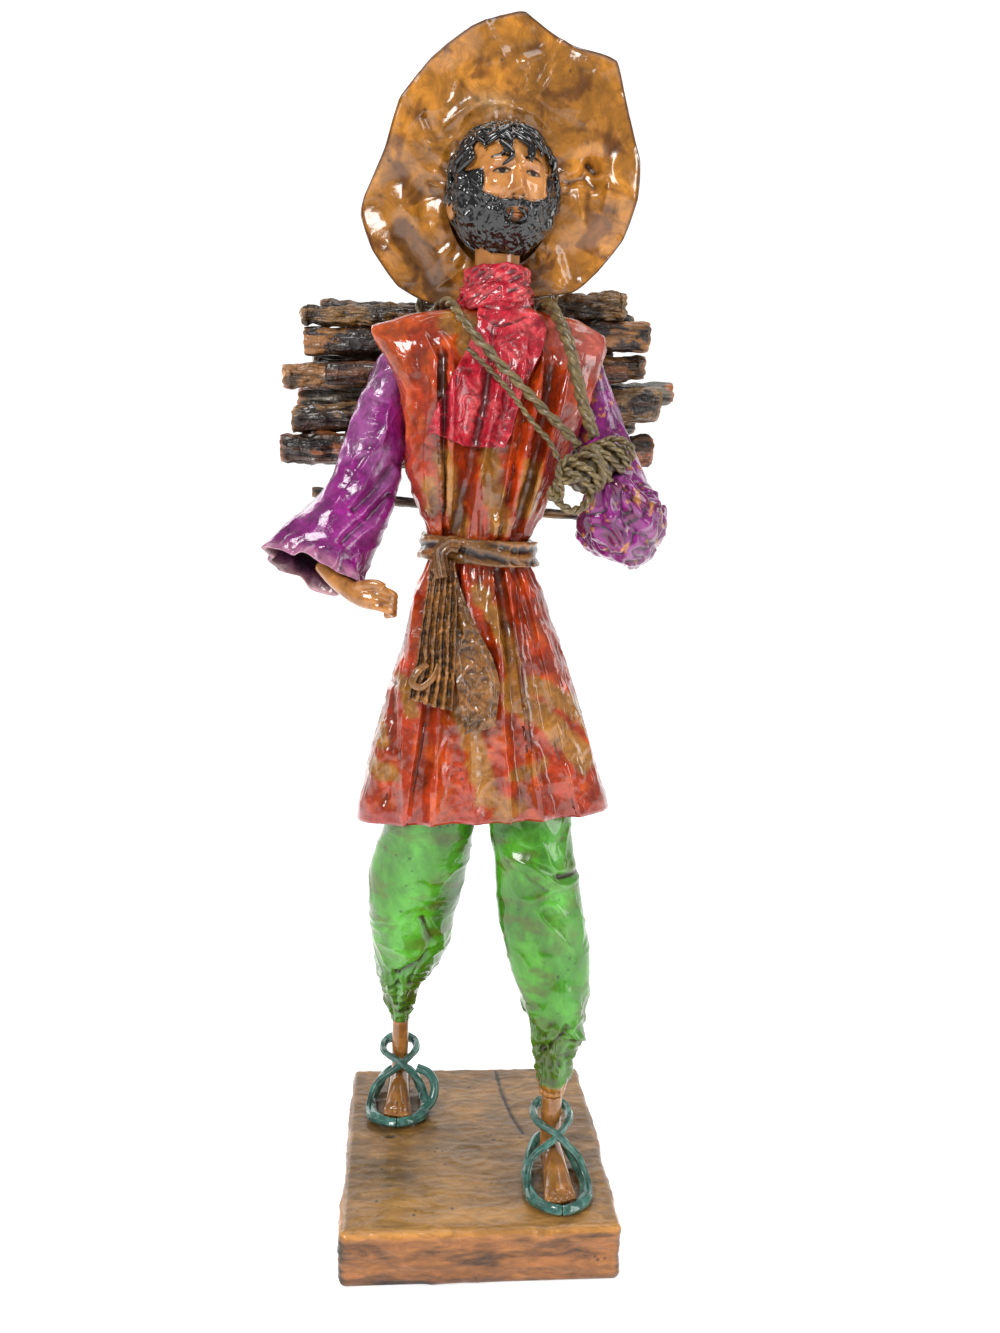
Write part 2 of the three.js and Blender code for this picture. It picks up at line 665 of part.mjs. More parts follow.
function makeFoot({ ankle, toe, top, shank }) {
  const heel = ankle[1] + SOLE.heel;
  const [middle, length] = [(heel + toe[1]) / 2, (heel - toe[1]) / 2];
  const sole = reshape(new THREE.SphereGeometry(1, 12, 8), (p) => {
    const width = SOLE.half - SOLE.narrowing * smooth(0, 1, p.y);
    const height = SOLE.instep + SOLE.rise * smooth(-0.6, 0.5, p.y);
    const x = mix(toe[0], ankle[0], (p.y + 1) / 2) + width * p.x;
    return [x, middle + length * p.y, Math.max(FLOOR, FLOOR + 1 + height * p.z)];
  });
  const bottom = FLOOR + 6;
  const leg = new THREE.CylinderGeometry(shank, shank + 0.4, top - bottom, 8);
  leg.rotateX(TURN / 4);
  leg.translate(ankle[0], ankle[1], (top + bottom) / 2);
  return join(sole, closed(leg));
}

// One cord makes a sandal: a flat loop round the toes whose ends rise, cross over the instep and
// meet behind the ankle. A second loop runs round the sole and up the heel.
function makeSandal({ ankle, toe, loop }) {
  const floor = FLOOR + SANDAL_CORD;
  const [front, back] = [toe[1] - 4, ankle[1] + 10];
  const place = ([across, along, up]) => new THREE.Vector3(
    mix(toe[0], ankle[0], along) + loop * across, mix(front, back, along), floor + up);
  const route = new THREE.CatmullRomCurve3(STRAP.map(place), true);
  const strap = ring((turn) => route.getPoint((turn + 1) % 1), STRAP_CORD, 22, 5);
  const sole = ring((turn) => {
    const along = (1 - Math.cos(turn * TURN)) / 2;
    return place([Math.sin(turn * TURN) * (1.05 - 0.3 * along), along, 6 * smooth(0.6, 1, along)]);
  }, SANDAL_CORD, 12, 5);
  return join(strap, sole);
}

// ---------------------------------------------------------------- head and hat

// A place on the head, turned as the head is.
function headPoint(x, y, z) {
  const { middle, turn } = HEAD;
  const angle = (turn / 360) * TURN;
  const [cos, sin] = [Math.cos(angle), Math.sin(angle)];
  return [middle[0] + cos * x - sin * y, middle[1] + sin * x + cos * y, middle[2] + z];
}

// How much of a feature of the face there is at a place, both sides alike.
const feature = ([side, up, wide, high], x, z) => bell(Math.abs(x) - side, wide) * bell(z - up, high);

// How far the face's features stand out at a place.
function faceRelief(x, z) {
  const nose = smooth(NOSE.top, NOSE.tip, z) * smooth(NOSE.under, NOSE.tip - 1, z) * bell(x, NOSE.wide);
  const shapes = [FACE.brow, FACE.socket, FACE.cheek, FACE.moustache];
  return NOSE.stands * nose + shapes.reduce((sum, shape) => sum + shape[4] * feature(shape, x, z), 0);
}

// How thick hair and beard lie at a place on the head.
function hairDepth(x, z, side, front, up) {
  const crown = smooth(0.62, 0.78, up + 0.25 * (1 - front));
  const temples = smooth(0.45, 0.25, front) * smooth(-0.55, -0.3, up);
  const hair = Math.max(crown, temples);
  const curls = 0.5 + 0.5 * Math.sin(12 * up + 3 * Math.sin(9 * side)) * Math.cos(11 * side + 5 * front);
  const chin = smooth(0.1, 0.5, front) * smooth(-5.5, -10, z + 0.25 * Math.abs(x));
  const beard = chin * (1 - feature(FACE.lips, x, z));
  return HAIR.thick * hair + HAIR.curls * hair * curls + HAIR.beard * beard;
}

function makeHead() {
  const { half } = HEAD;
  const skull = reshape(new THREE.SphereGeometry(1, 20, 16), (p) => {
    const [side, front, up] = [p.x, p.z, clamp(p.y, -1, 1)];
    const jaw = 1 - 0.2 * smooth(-0.1, -1, up);
    const [x, z] = [half[0] * side * jaw, half[2] * up];
    const out = 1 + hairDepth(x, z, side, front, up) / half[2];
    const relief = smooth(0.2, 0.7, front) * faceRelief(x, z);
    return headPoint(out * x, -(out * half[1] * front + relief), out * z);
  });
  const neck = new THREE.CylinderGeometry(NECK.radius, NECK.radius, NECK.high, 12);
  neck.rotateX(TURN / 4);
  neck.translate(NECK.x, NECK.y, NECKLINE + 0.5 + NECK.high / 2);
  const [earWide, earDeep, earHigh] = EAR.half;
  const makeEar = (side) => reshape(new THREE.SphereGeometry(1, 8, 6), (p) => (
    headPoint(side * EAR.side + earWide * p.x, EAR.back + earDeep * p.z, earHigh * p.y - EAR.drop)));
  return join(skull, closed(neck), makeEar(-1), makeEar(1));
}

// Y of the brim's sheet: its waves grow towards the rim, and its dents fade out at both edges.
function brimRelief(x, z, angle, share) {
  const wave = HAT_WAVES.reduce((sum, [count, deep, start]) => (
    sum + deep * Math.sin(count * angle + start)), 0);
  const dent = HAT_DENTS.reduce((sum, [atX, atZ, wide, high, deep]) => (
    sum + deep * bell(x - atX, wide) * bell(z - atZ, high)), 0);
  return wave * share ** 2 * smooth(415, 445, z) + dent * Math.sin((share * TURN) / 2);
}

function makeHat(head) {
  const { middle, opening, crown, lean, sheet: thick } = HAT;
  const corners = BRIM.map(([x, z]) => new THREE.Vector3(x, z, 0));
  const outline = new THREE.CatmullRomCurve3(corners, true, 'centripetal');
  const slope = Math.tan((lean / 360) * TURN);
  const leaning = (z) => middle[1] + (middle[2] - z) * slope;
  const place = (turn, side, ringShare) => {
    const rim = outline.getPoint((turn + 1) % 1);
    const angle = Math.atan2(rim.x - middle[0], rim.y - middle[2]);
    const edge = [middle[0] + opening[0] * Math.sin(angle), middle[2] + opening[1] * Math.cos(angle)];
    if (ringShare <= 1) {
      const [round, depth] = [Math.sin((ringShare * TURN) / 4), Math.cos((ringShare * TURN) / 4)];
      const out = round + (side * thick * round) / opening[0];
      const [x, z] = [mix(middle[0], edge[0], out), mix(middle[2], edge[1], out)];
      return [x, leaning(z) + crown * depth + side * thick * mix(0.4, 1, depth), z];
    }
    const share = ringShare - 1;
    const [x, z] = [mix(edge[0], rim.x, share), mix(edge[1], rim.y, share)];
    return [x, leaning(z) + brimRelief(x, z, angle, share) + side * thick, z];
  };
  const front = HAT_RINGS.map((share) => [share, 0]);
  const back = HAT_RINGS.map((share) => [share, 1]).reverse();
  return cutClear(turned([[0, 0], ...front, ...back, [0, 1]], 30, place), head);
}

// ---------------------------------------------------------------- ropes and firewood

function makeWristWrap(...neighbours) {
  const from = new THREE.Vector3(...WRAP.from);
  const axis = new THREE.Vector3(...WRAP.to).sub(from).normalize();
  const out = new THREE.Vector3(0, 0, 1).addScaledVector(axis, -axis.z).normalize();
  const side = axis.clone().cross(out);
  const count = WRAP.turns * 2;
  const body = Array.from({ length: count + 1 }, (_, i) => [1, i / count]);
  const barrel = turned([[0, 0], ...body, [0, 1]], 9, (turn, rise, edge) => {
    const bulge = WRAP.radius * mix(0.72, 1, Math.sin((rise * TURN) / 2));
    const radius = edge * (bulge + WRAP.strand * Math.cos(rise * TURN * WRAP.turns));
    const at = from.clone().addScaledVector(axis, rise * WRAP.long);
    at.addScaledVector(out, radius * Math.cos(turn * TURN));
    return at.addScaledVector(side, radius * Math.sin(turn * TURN)).toArray();
  });
  return cutClear(join(barrel, cord(WRAP.loop, WRAP.cord, 12, 5)), ...neighbours);
}

// A split or round stick lying along X, its section made uneven by slow waves.
function makeStick([x0, z0, r0, x1, z1, r1, y, sides], number) {
  return reshape(new THREE.CylinderGeometry(1, 1, 1, sides, 3), (p) => {
    const t = p.y + 0.5;
    const angle = Math.atan2(p.x, p.z);
    const round = STICK_WAVES.round * Math.sin(3 * angle + number);
    const along = STICK_WAVES.along * Math.sin(9 * t + 2 * number + 2 * angle);
    const radius = mix(r0, r1, t) * (STICK_WAVES.mean + round + along);
    return [mix(x0, x1, t), y + p.z * radius, mix(z0, z1, t) + p.x * radius];
  });
}

// Rope round the bundle: a rounded rectangle in the plane across the sticks.
function makeBundleTie(x) {
  const { middle, half, square, radius } = TIE;
  const rounded = (value) => Math.sign(value) * Math.abs(value) ** square;
  return ring((turn) => {
    const [ahead, up] = [Math.cos(turn * TURN), Math.sin(turn * TURN)];
    const [y, z] = [middle[0] + half[0] * rounded(ahead), middle[1] + half[1] * rounded(up)];
    return new THREE.Vector3(x + ahead, y, z);
  }, radius, 20, 5);
}

// ---------------------------------------------------------------- the figure

const figure = new THREE.Group();

function add(name, geometry, color, roughness = PAINT_ROUGHNESS) {
  const mesh = new THREE.Mesh(geometry, new THREE.MeshStandardMaterial({ color, roughness, metalness: 0 }));
  mesh.name = name;
  figure.add(mesh);
  return geometry;
}

add('base', makeBase(), COLOURS.base);

const sides = [
  { side: 'left', foot: LEFT_FOOT, leg: LEFT_LEG, twist: 0 },
  { side: 'right', foot: RIGHT_FOOT, leg: RIGHT_LEG, twist: 2 },
];
for (const { side, foot, leg, twist } of sides) {
  add(`${side}_trouser_leg`, makeTrouserLeg(leg, twist), COLOURS.trousers);
  add(`${side}_foot`, makeFoot(foot), COLOURS.skin);
  add(`${side}_sandal`, makeSandal(foot), COLOURS.sandal);
}

const tunic = add('tunic', makeTunic(), COLOURS.tunic);
add('sash', makeSash(), COLOURS.sash);
add('neckerchief', makeNeckerchief(), COLOURS.kerchief);
const leftHand = add('left_hand', makeLeftHand(), COLOURS.skin);
add('left_sleeve', makeLeftSleeve(tunic, leftHand), COLOURS.sleeve);
const rightSleeve = add('right_sleeve', makeRightSleeve(tunic), COLOURS.sleeve);

const head = add('head', makeHead(), COLOURS.hair);
add('hat', makeHat(head), COLOURS.hat);

const ropes = Object.entries(ROPES).map(([name, { radius, route }]) => (
  add(name, cord(route, radius), COLOURS.rope)));
add('wrist_wrap', makeWristWrap(rightSleeve, tunic, ...ropes), COLOURS.rope);

FIREWOOD.forEach((stick, i) => {
  add(`firewood_${String(i + 1).padStart(2, '0')}`, makeStick(stick, i), COLOURS.wood, WOOD_ROUGHNESS);
});
add('left_bundle_tie', makeBundleTie(TIE.left), COLOURS.rope);
add('right_bundle_tie', makeBundleTie(TIE.right), COLOURS.rope);

export default figure;
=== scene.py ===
import math

import bmesh
import bpy
import numpy as np
from bpy.props import FloatProperty, FloatVectorProperty, IntProperty, PointerProperty
from mathutils import Matrix, Vector


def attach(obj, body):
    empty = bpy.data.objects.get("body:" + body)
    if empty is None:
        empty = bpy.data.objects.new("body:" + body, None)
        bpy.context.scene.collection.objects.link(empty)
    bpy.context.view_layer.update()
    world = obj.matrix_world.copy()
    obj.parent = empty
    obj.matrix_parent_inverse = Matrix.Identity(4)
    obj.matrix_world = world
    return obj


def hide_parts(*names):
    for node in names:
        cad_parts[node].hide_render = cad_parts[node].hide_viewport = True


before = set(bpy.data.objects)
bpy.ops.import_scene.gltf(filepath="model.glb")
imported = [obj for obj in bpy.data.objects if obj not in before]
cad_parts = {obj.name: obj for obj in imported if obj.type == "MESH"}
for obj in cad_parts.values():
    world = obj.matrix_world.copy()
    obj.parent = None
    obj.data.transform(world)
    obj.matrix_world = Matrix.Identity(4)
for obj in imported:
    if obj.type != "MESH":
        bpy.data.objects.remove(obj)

bl_info = {
    "name": "Papier-mache firewood carrier",
    "version": (1, 0, 0),
    "blender": (4, 5, 0),
    "location": "View3D > Sidebar > Figure",
    "description": "Builds the folded, painted and lacquered paper of a firewood carrier over its packed solids",
    "category": "Mesh",
}

MM = 0.001
TURN = 2 * math.pi


# ---------------------------------------------------------------- numbers and fields

def mix(a, b, t):
    return a + (b - a) * t


def smooth(start, end, value):
    t = np.clip((np.asarray(value, float) - start) / (end - start), 0, 1)
    return t * t * (3 - 2 * t)


def bell(distance, width):
    return np.exp(-((np.asarray(distance) / width) ** 2))


def crest(distance, width):
    """A ridge with a sharp top."""
    return np.exp(-np.abs(distance) / width)


def paint(red, green, blue):
    """A colour mixed from 0 to 255 shares, as linear light."""
    shares = np.array([red, green, blue]) / 255
    return tuple(np.where(shares <= 0.04045, shares / 12.92, ((shares + 0.055) / 1.055) ** 2.4))


def spline(points, keys, closed=False):
    """Smooth values of a list of points at fractional places in it."""
    points = np.asarray(points, float)
    count = len(points)
    keys = np.asarray(keys, float)
    low = np.floor(keys).astype(int)
    low = low if closed else np.clip(low, 0, count - 2)
    t = (keys - low)[..., None]
    a, b, c, d = (points[(low + step) % count if closed else np.clip(low + step, 0, count - 1)]
                  for step in (-1, 0, 1, 2))
    return 0.5 * (2 * b + (c - a) * t + (2 * a - 5 * b + 4 * c - d) * t ** 2 + (3 * b - 3 * c + d - a) * t ** 3)


def table_at(table, keys):
    """Columns of a table at keys between its rows, the key column left out."""
    table = np.array(table, float)
    places = np.interp(keys, table[:, 0], np.arange(len(table)))
    values = spline(table[:, 1:], places)
    return [values[..., i] for i in range(values.shape[-1])]


def scatter(cell, seed):
    """A repeatable whole number from 0 to 15 for each whole-numbered cell."""
    mixed = (cell[..., 0] * 73856093) ^ (cell[..., 1] * 19349663) ^ (cell[..., 2] * 83492791) ^ (seed * 26544357)
    mixed = ((mixed & 0x7FFFFFFF) ^ ((mixed & 0x7FFFFFFF) >> 13)) * 127412617
    return ((mixed >> 9) ^ (mixed >> 17)) & 15


# Sixteen directions spread over a ball, which the noise slopes towards.
SLOPES = np.array([
    [math.cos(2.399963 * k) * math.sqrt(1 - (k / 7.5 - 1) ** 2), math.sin(2.399963 * k) * math.sqrt(1 - (k / 7.5 - 1) ** 2),
     k / 7.5 - 1] for k in range(16)])


def lumps(points, size, seed=0):
    """Smooth noise from about -1 to 1 whose lumps are about one size across."""
    at = np.asarray(points, float) / size
    cell = np.floor(at).astype(np.int64)
    part = at - cell
    fade = part * part * part * (part * (part * 6 - 15) + 10)
    total = 0
    for corner in range(8):
        step = np.array([corner & 1, (corner >> 1) & 1, (corner >> 2) & 1])
        weight = np.prod(np.where(step == 1, fade, 1 - fade), axis=-1)
        slope = SLOPES[scatter(cell + step, seed)]
        total = total + weight * np.einsum("...i,...i->...", slope, part - step)
    return np.clip(1.9 * total, -1, 1)


def rough(points, size, seed=0, layers=3):
    return sum(lumps(points, size / 2 ** k, seed + k) * 0.5 ** k for k in range(layers))


def warped(points, size, amount, seed=0):
    """Points pushed about, so that what is drawn on them gets an uneven edge."""
    push = np.stack([lumps(points, size, seed + k) for k in range(3)], axis=-1)
    return points + amount * push


def crumple(points, size, seed=0):
    """Sharp wandering crease lines, 1 on a crease and 0 away from it."""
    bent = warped(points, size * 1.3, size * 0.5, seed + 5)
    return (1 - np.abs(lumps(bent, size, seed))) ** 5


def line_distance(x, z, line):
    """Distance to a line of (x, z) points, and the side of it: positive on its left."""
    best = np.full(np.shape(x), 1e9)
    side = np.zeros(np.shape(x))
    for (ax, az), (bx, bz) in zip(line[:-1], line[1:]):
        dx, dz = bx - ax, bz - az
        t = np.clip(((x - ax) * dx + (z - az) * dz) / (dx * dx + dz * dz), 0, 1)
        ex, ez = x - ax - t * dx, z - az - t * dz
        distance = np.hypot(ex, ez)
        nearer = distance < best
        side = np.where(nearer, np.sign(dx * ez - dz * ex), side)
        best = np.where(nearer, distance, best)
    return best, side


def stroke(x, z, line, width):
    """How near a point is to a line, 1 on it, fading over a width."""
    return bell(line_distance(x, z, line)[0], width)


def ridge(x, z, line, width):
    """A sharp-topped ridge along a line that dies away at both ends."""
    reach = np.cumsum([0] + [math.dist(a, b) for a, b in zip(line[:-1], line[1:])])
    ends = np.minimum(np.hypot(x - line[0][0], z - line[0][1]), np.hypot(x - line[-1][0], z - line[-1][1]))
    taper = 0.25 + 0.75 * smooth(0, min(reach[-1] / 2, 6 * width), ends)
    return crest(line_distance(x, z, line)[0], width) * taper


def lap(x, z, line, width):
    """The raised lip of a fold laid over: steep on the line's left, easy on its right."""
    distance, side = line_distance(x, z, line)
    return np.where(side > 0, bell(distance, width * 0.18), bell(distance, width))


def patch(points, line, width, seed=0):
    """A painted patch round a line of (x, z) points, with an uneven edge."""
    at = warped(points, 5, 1.6, seed)
    distance = line_distance(at[..., 0], at[..., 2], line)[0]
    return smooth(width + 1.2, width - 1.2, distance)


# ---------------------------------------------------------------- grids of points

def facing(points, wrap=True):
    """The way each point of a grid faces: outward on a closed grid and to the front on an open one."""
    up = np.gradient(points, axis=0)
    if wrap:
        ring = points[:, :-1]
        across = np.roll(ring, -1, axis=1) - np.roll(ring, 1, axis=1)
        across = np.concatenate([across, across[:, :1]], axis=1)
    else:
        across = np.gradient(points, axis=1)
    normal = np.cross(across, up)
    away = points - points.mean(axis=1, keepdims=True) if wrap else np.array([0.0, -1.0, 0.0])
    normal = normal * (1 if (normal * away).sum() > 0 else -1)
    return normal / np.maximum(np.linalg.norm(normal, axis=-1, keepdims=True), 1e-9)


def pushed(points, height, wrap=True):
    """A grid moved out along its own normals by a height at each point."""
    return points + facing(points, wrap) * np.asarray(height)[..., None]


def blurred(grid, reach, wrap=True):
    """A grid averaged over its neighbours, reach times."""
    for _ in range(reach):
        padded = np.concatenate([grid[:1], grid, grid[-1:]], axis=0)
        grid = (padded[:-2] + 2 * padded[1:-1] + padded[2:]) / 4
        if wrap:
            ring = grid[:, :-1]
            ring = (np.roll(ring, 1, axis=1) + 2 * ring + np.roll(ring, -1, axis=1)) / 4
            grid = np.concatenate([ring, ring[:, :1]], axis=1)
        else:
            padded = np.concatenate([grid[:, :1], grid, grid[:, -1:]], axis=1)
            grid = (padded[:, :-2] + 2 * padded[:, 1:-1] + padded[:, 2:]) / 4
    return grid


def hollows(points, reach=10, wrap=True, depth=0.5):
    """How deep each point lies in a fold: 0.5 on a flat, up to 1 in a valley and 0 on a ridge."""
    lower = ((blurred(points, reach, wrap) - points) * facing(points, wrap)).sum(axis=-1)
    return np.clip(0.5 + lower / (2 * depth), 0, 1)


def paths_of(route, start=(1, 0, 0)):
    """The along, across and out directions at each point of a route, carried along it without twist."""
    along = np.gradient(route, axis=0)
    along /= np.linalg.norm(along, axis=1, keepdims=True)
    across = np.empty_like(along)
    last = np.array(start, float)
    for i, direction in enumerate(along):
        last = last - direction * (last @ direction)
        last = last / np.linalg.norm(last)
        across[i] = last
    return along, across, np.cross(across, along)


def capped(points):
    """A tube's grid with both ends drawn in to a point."""
    ends = [np.repeat(points[end].mean(axis=0)[None, None], points.shape[1], axis=1) for end in (0, -1)]
    return np.concatenate([ends[0], points, ends[1]], axis=0)


def tube(route, wide, high=None, sides=10, lobes=0, groove=0.0, spin=0.0, start=(1, 0, 0), closed=False):
    """A cord of oval section along a route; lobes and groove press it into strands lying side by side."""
    route = np.asarray(route, float)
    high = wide if high is None else high
    _, across, out = paths_of(route, start)
    angle = np.linspace(0, TURN, sides + 1)
    steps = np.linspace(0, 1, len(route))
    turn = angle[None, :] + spin * steps[:, None]
    swell = 1 - groove * np.abs(np.sin(turn * lobes / 2)) ** 0.5 if lobes else 1
    wide = np.broadcast_to(np.asarray(wide, float), (len(route),))[:, None]
    high = np.broadcast_to(np.asarray(high, float), (len(route),))[:, None]
    side, rise = wide * np.cos(turn) * swell, high * np.sin(turn) * swell
    points = route[:, None] + side[..., None] * across[:, None] + rise[..., None] * out[:, None]
    return points if closed else capped(points)


def twine(route, radius, strands, pitch, sides=7, start=(1, 0, 0)):
    """Grids of cords twisted round a route, one turn in each pitch."""
    route = np.asarray(route, float)
    _, across, out = paths_of(route, start)
    length = np.concatenate([[0], np.cumsum(np.linalg.norm(np.diff(route, axis=0), axis=1))])
    grids = []
    for k in range(strands):
        angle = TURN * (length / pitch + k / strands)
        offset = np.cos(angle)[:, None] * across + np.sin(angle)[:, None] * out
        grids.append(tube(route + offset * radius * 0.52, radius * 0.6, sides=sides, start=start))
    return grids


def routed(points, count, closed=False):
    """A smooth route of count points through a few."""
    last = len(points) if closed else len(points) - 1
    return spline(points, np.linspace(0, last, count, endpoint=not closed), closed)


def looped(route):
    """A closed route with its first point again at the end, wrapped past the join for smooth directions."""
    return np.concatenate([route, route[:1]], axis=0)


# ---------------------------------------------------------------- meshes and pieces

def skin(points, **layers):
    """A mesh grid bent onto points (rows by columns by 3, in millimetres) that carries paint layers."""
    rows, columns = points.shape[:2]
    bm = bmesh.new()
    bm.loops.layers.uv.new("UVMap")
    bmesh.ops.create_grid(bm, x_segments=columns - 1, y_segments=rows - 1, size=0.5, calc_uvs=True)
    mesh = bpy.data.meshes.new("skin")
    bm.to_mesh(mesh)
    bm.free()
    flat = np.empty(len(mesh.vertices) * 3, np.float32)
    mesh.vertices.foreach_get("co", flat)
    flat = flat.reshape(-1, 3)
    across = np.rint((flat[:, 0] + 0.5) * (columns - 1)).astype(int)
    along = np.rint((flat[:, 1] + 0.5) * (rows - 1)).astype(int)
    mesh.vertices.foreach_set("co", (points[along, across] * MM).astype(np.float32).ravel())
    for name, values in layers.items():
        values = np.broadcast_to(np.asarray(values, float), (rows, columns, 3) if name == "tint" else (rows, columns))
        picked = values[along, across].astype(np.float32)
        if name == "tint":
            layer = mesh.attributes.new(name, "FLOAT_COLOR", "POINT")
            layer.data.foreach_set("color", np.column_stack([picked, np.ones(len(picked), np.float32)]).ravel())
        else:
            mesh.attributes.new(name, "FLOAT", "POINT").data.foreach_set("value", picked)
    return mesh


def painted(points, tint, wrap=True, reach=10, depth=0.5, **layers):
    """A skin with its colour and the depth of its folds kept at its corners."""
    return skin(points, tint=tint, hollow=hollows(points, reach, wrap, depth), **layers)


def doubled(front, back):
    """The grid of a sheet's front and of its back joined into one closed skin."""
    rows = np.concatenate([front, back[:, ::-1], front[:, :1]], axis=1)
    rim = (front[[0, -1]] + back[[0, -1]]) / 2
    rim = np.concatenate([rim, rim[:, ::-1], rim[:, :1]], axis=1)
    return np.concatenate([rim[:1], rows, rim[1:]])


def sheet(points, tint, thick, reach, depth):
    """A painted sheet of paper with a thickness, closed round its edges."""
    hollow = hollows(points, reach, False, depth)
    back = points - thick * facing(points, False)
    return skin(doubled(points, back), tint=doubled(tint, tint), hollow=doubled(hollow, hollow))


def piece(name, skins, material, node, turn_out=True):
    """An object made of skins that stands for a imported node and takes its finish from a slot."""
    bm = bmesh.new()
    for part in skins:
        bm.from_mesh(part)
        bpy.data.meshes.remove(part)
    bmesh.ops.remove_doubles(bm, verts=bm.verts, dist=2e-6)
    bmesh.ops.dissolve_degenerate(bm, edges=bm.edges, dist=1e-7)
    if turn_out:
        bmesh.ops.recalc_face_normals(bm, faces=bm.faces)
    for face in bm.faces:
        face.smooth = True
    mesh = bpy.data.meshes.new(name)
    bm.to_mesh(mesh)
    bm.free()
    mesh.materials.append(material)
    obj = bpy.data.objects.new(name, mesh)
    bpy.context.scene.collection.objects.link(obj)
    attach(obj, "root")
    nodes = [node] if isinstance(node, str) else node
    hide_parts(*nodes)
    return obj


# ---------------------------------------------------------------- finishes

def add_node(tree, kind, settings=None, **inputs):
    """A node with its settings, its inputs filled from numbers, colours or other nodes' sockets."""
    node = tree.nodes.new(kind)
    for key, value in (settings or {}).items():
        setattr(node, key, value)
    for key, value in inputs.items():
        socket = node.inputs[key.replace("_", " ")]
        if isinstance(value, bpy.types.NodeSocket):
            tree.links.new(value, socket)
        else:
            socket.default_value = value
    return node


def reckon(tree, operation, *terms, clamp=False):
    """The outcome of a Math node."""
    node = tree.nodes.new("ShaderNodeMath")
    node.operation = operation
    node.use_clamp = clamp
    for socket, term in zip(node.inputs, terms):
        if isinstance(term, bpy.types.NodeSocket):
            tree.links.new(term, socket)
        else:
            socket.default_value = term
    return node.outputs[0]


def blend_colours(tree, factor, first, second, how="MIX"):
    """Two colours mixed by a factor."""
    node = tree.nodes.new("ShaderNodeMix")
    node.data_type = "RGBA"
    node.blend_type = how
    for index, term in ((0, factor), (6, first), (7, second)):
        if isinstance(term, bpy.types.NodeSocket):
            tree.links.new(term, node.inputs[index])
        elif index:
            node.inputs[index].default_value = (*term, 1.0)
        else:
            node.inputs[index].default_value = term
    return node.outputs[2]


def ramped(tree, value, low, high, to_low=0.0, to_high=1.0):
    """A value spread smoothly between two others."""
    node = add_node(tree, "ShaderNodeMapRange", {"interpolation_type": "SMOOTHSTEP"}, Value=value,
                    From_Min=low, From_Max=high, To_Min=to_low, To_Max=to_high)
    return node.outputs[0]


def object_place(tree, stretch=(1, 1, 1), turn=(0, 0, 0)):
    place = add_node(tree, "ShaderNodeTexCoord").outputs["Object"]
    return add_node(tree, "ShaderNodeMapping", Vector=place, Scale=stretch, Rotation=turn).outputs[0]


def noise(tree, place, scale, detail=4.0, roughness=0.55, distortion=0.0):
    node = add_node(tree, "ShaderNodeTexNoise", Vector=place, Scale=scale, Detail=detail,
                    Roughness=roughness, Distortion=distortion)
    return node.outputs["Fac"]


def new_group(name, inputs, outputs):
    """An empty node group with named sockets, as (tree, its input node, its output node)."""
    tree = bpy.data.node_groups.new(name, "ShaderNodeTree")
    for socket, kind, value in inputs:
        made = tree.interface.new_socket(name=socket, in_out="INPUT", socket_type=kind)
        if value is not None:
            made.default_value = value
    for socket, kind in outputs:
        tree.interface.new_socket(name=socket, in_out="OUTPUT", socket_type=kind)
    return tree, tree.nodes.new("NodeGroupInput"), tree.nodes.new("NodeGroupOutput")


FLOAT, COLOUR, VECTOR = "NodeSocketFloat", "NodeSocketColor", "NodeSocketVector"


def antique_wash():
    """Dark varnish left in hollows and wiped in cloudy streaks over the paint."""
    tree, given, out = new_group("Antique wash", [
        ("Color", COLOUR, None), ("Wash", COLOUR, None), ("Hollow", FLOAT, 0.5), ("Size", FLOAT, 40.0),
        ("Amount", FLOAT, 0.5), ("Pooling", FLOAT, 1.0), ("Place", VECTOR, None),
    ], [("Color", COLOUR), ("Mask", FLOAT)])
    feed, place = given.outputs, given.outputs["Place"]
    cloud = noise(tree, place, feed["Size"], 6.0, 0.62, 1.2)
    fine = noise(tree, place, reckon(tree, "MULTIPLY", feed["Size"], 6.0), 4.0, 0.65, 0.6)
    pooled = reckon(tree, "MULTIPLY", reckon(tree, "SUBTRACT", feed["Hollow"], 0.5), feed["Pooling"])
    level = reckon(tree, "ADD", reckon(tree, "MULTIPLY", cloud, 0.7), reckon(tree, "MULTIPLY", fine, 0.3))
    level = reckon(tree, "ADD", level, pooled)
    edge = reckon(tree, "SUBTRACT", 1.0, feed["Amount"])
    mask = ramped(tree, reckon(tree, "SUBTRACT", level, edge), -0.16, 0.3)
    tree.links.new(mask, out.inputs["Mask"])
    tree.links.new(blend_colours(tree, mask, feed["Color"], feed["Wash"]), out.inputs["Color"])
    return tree


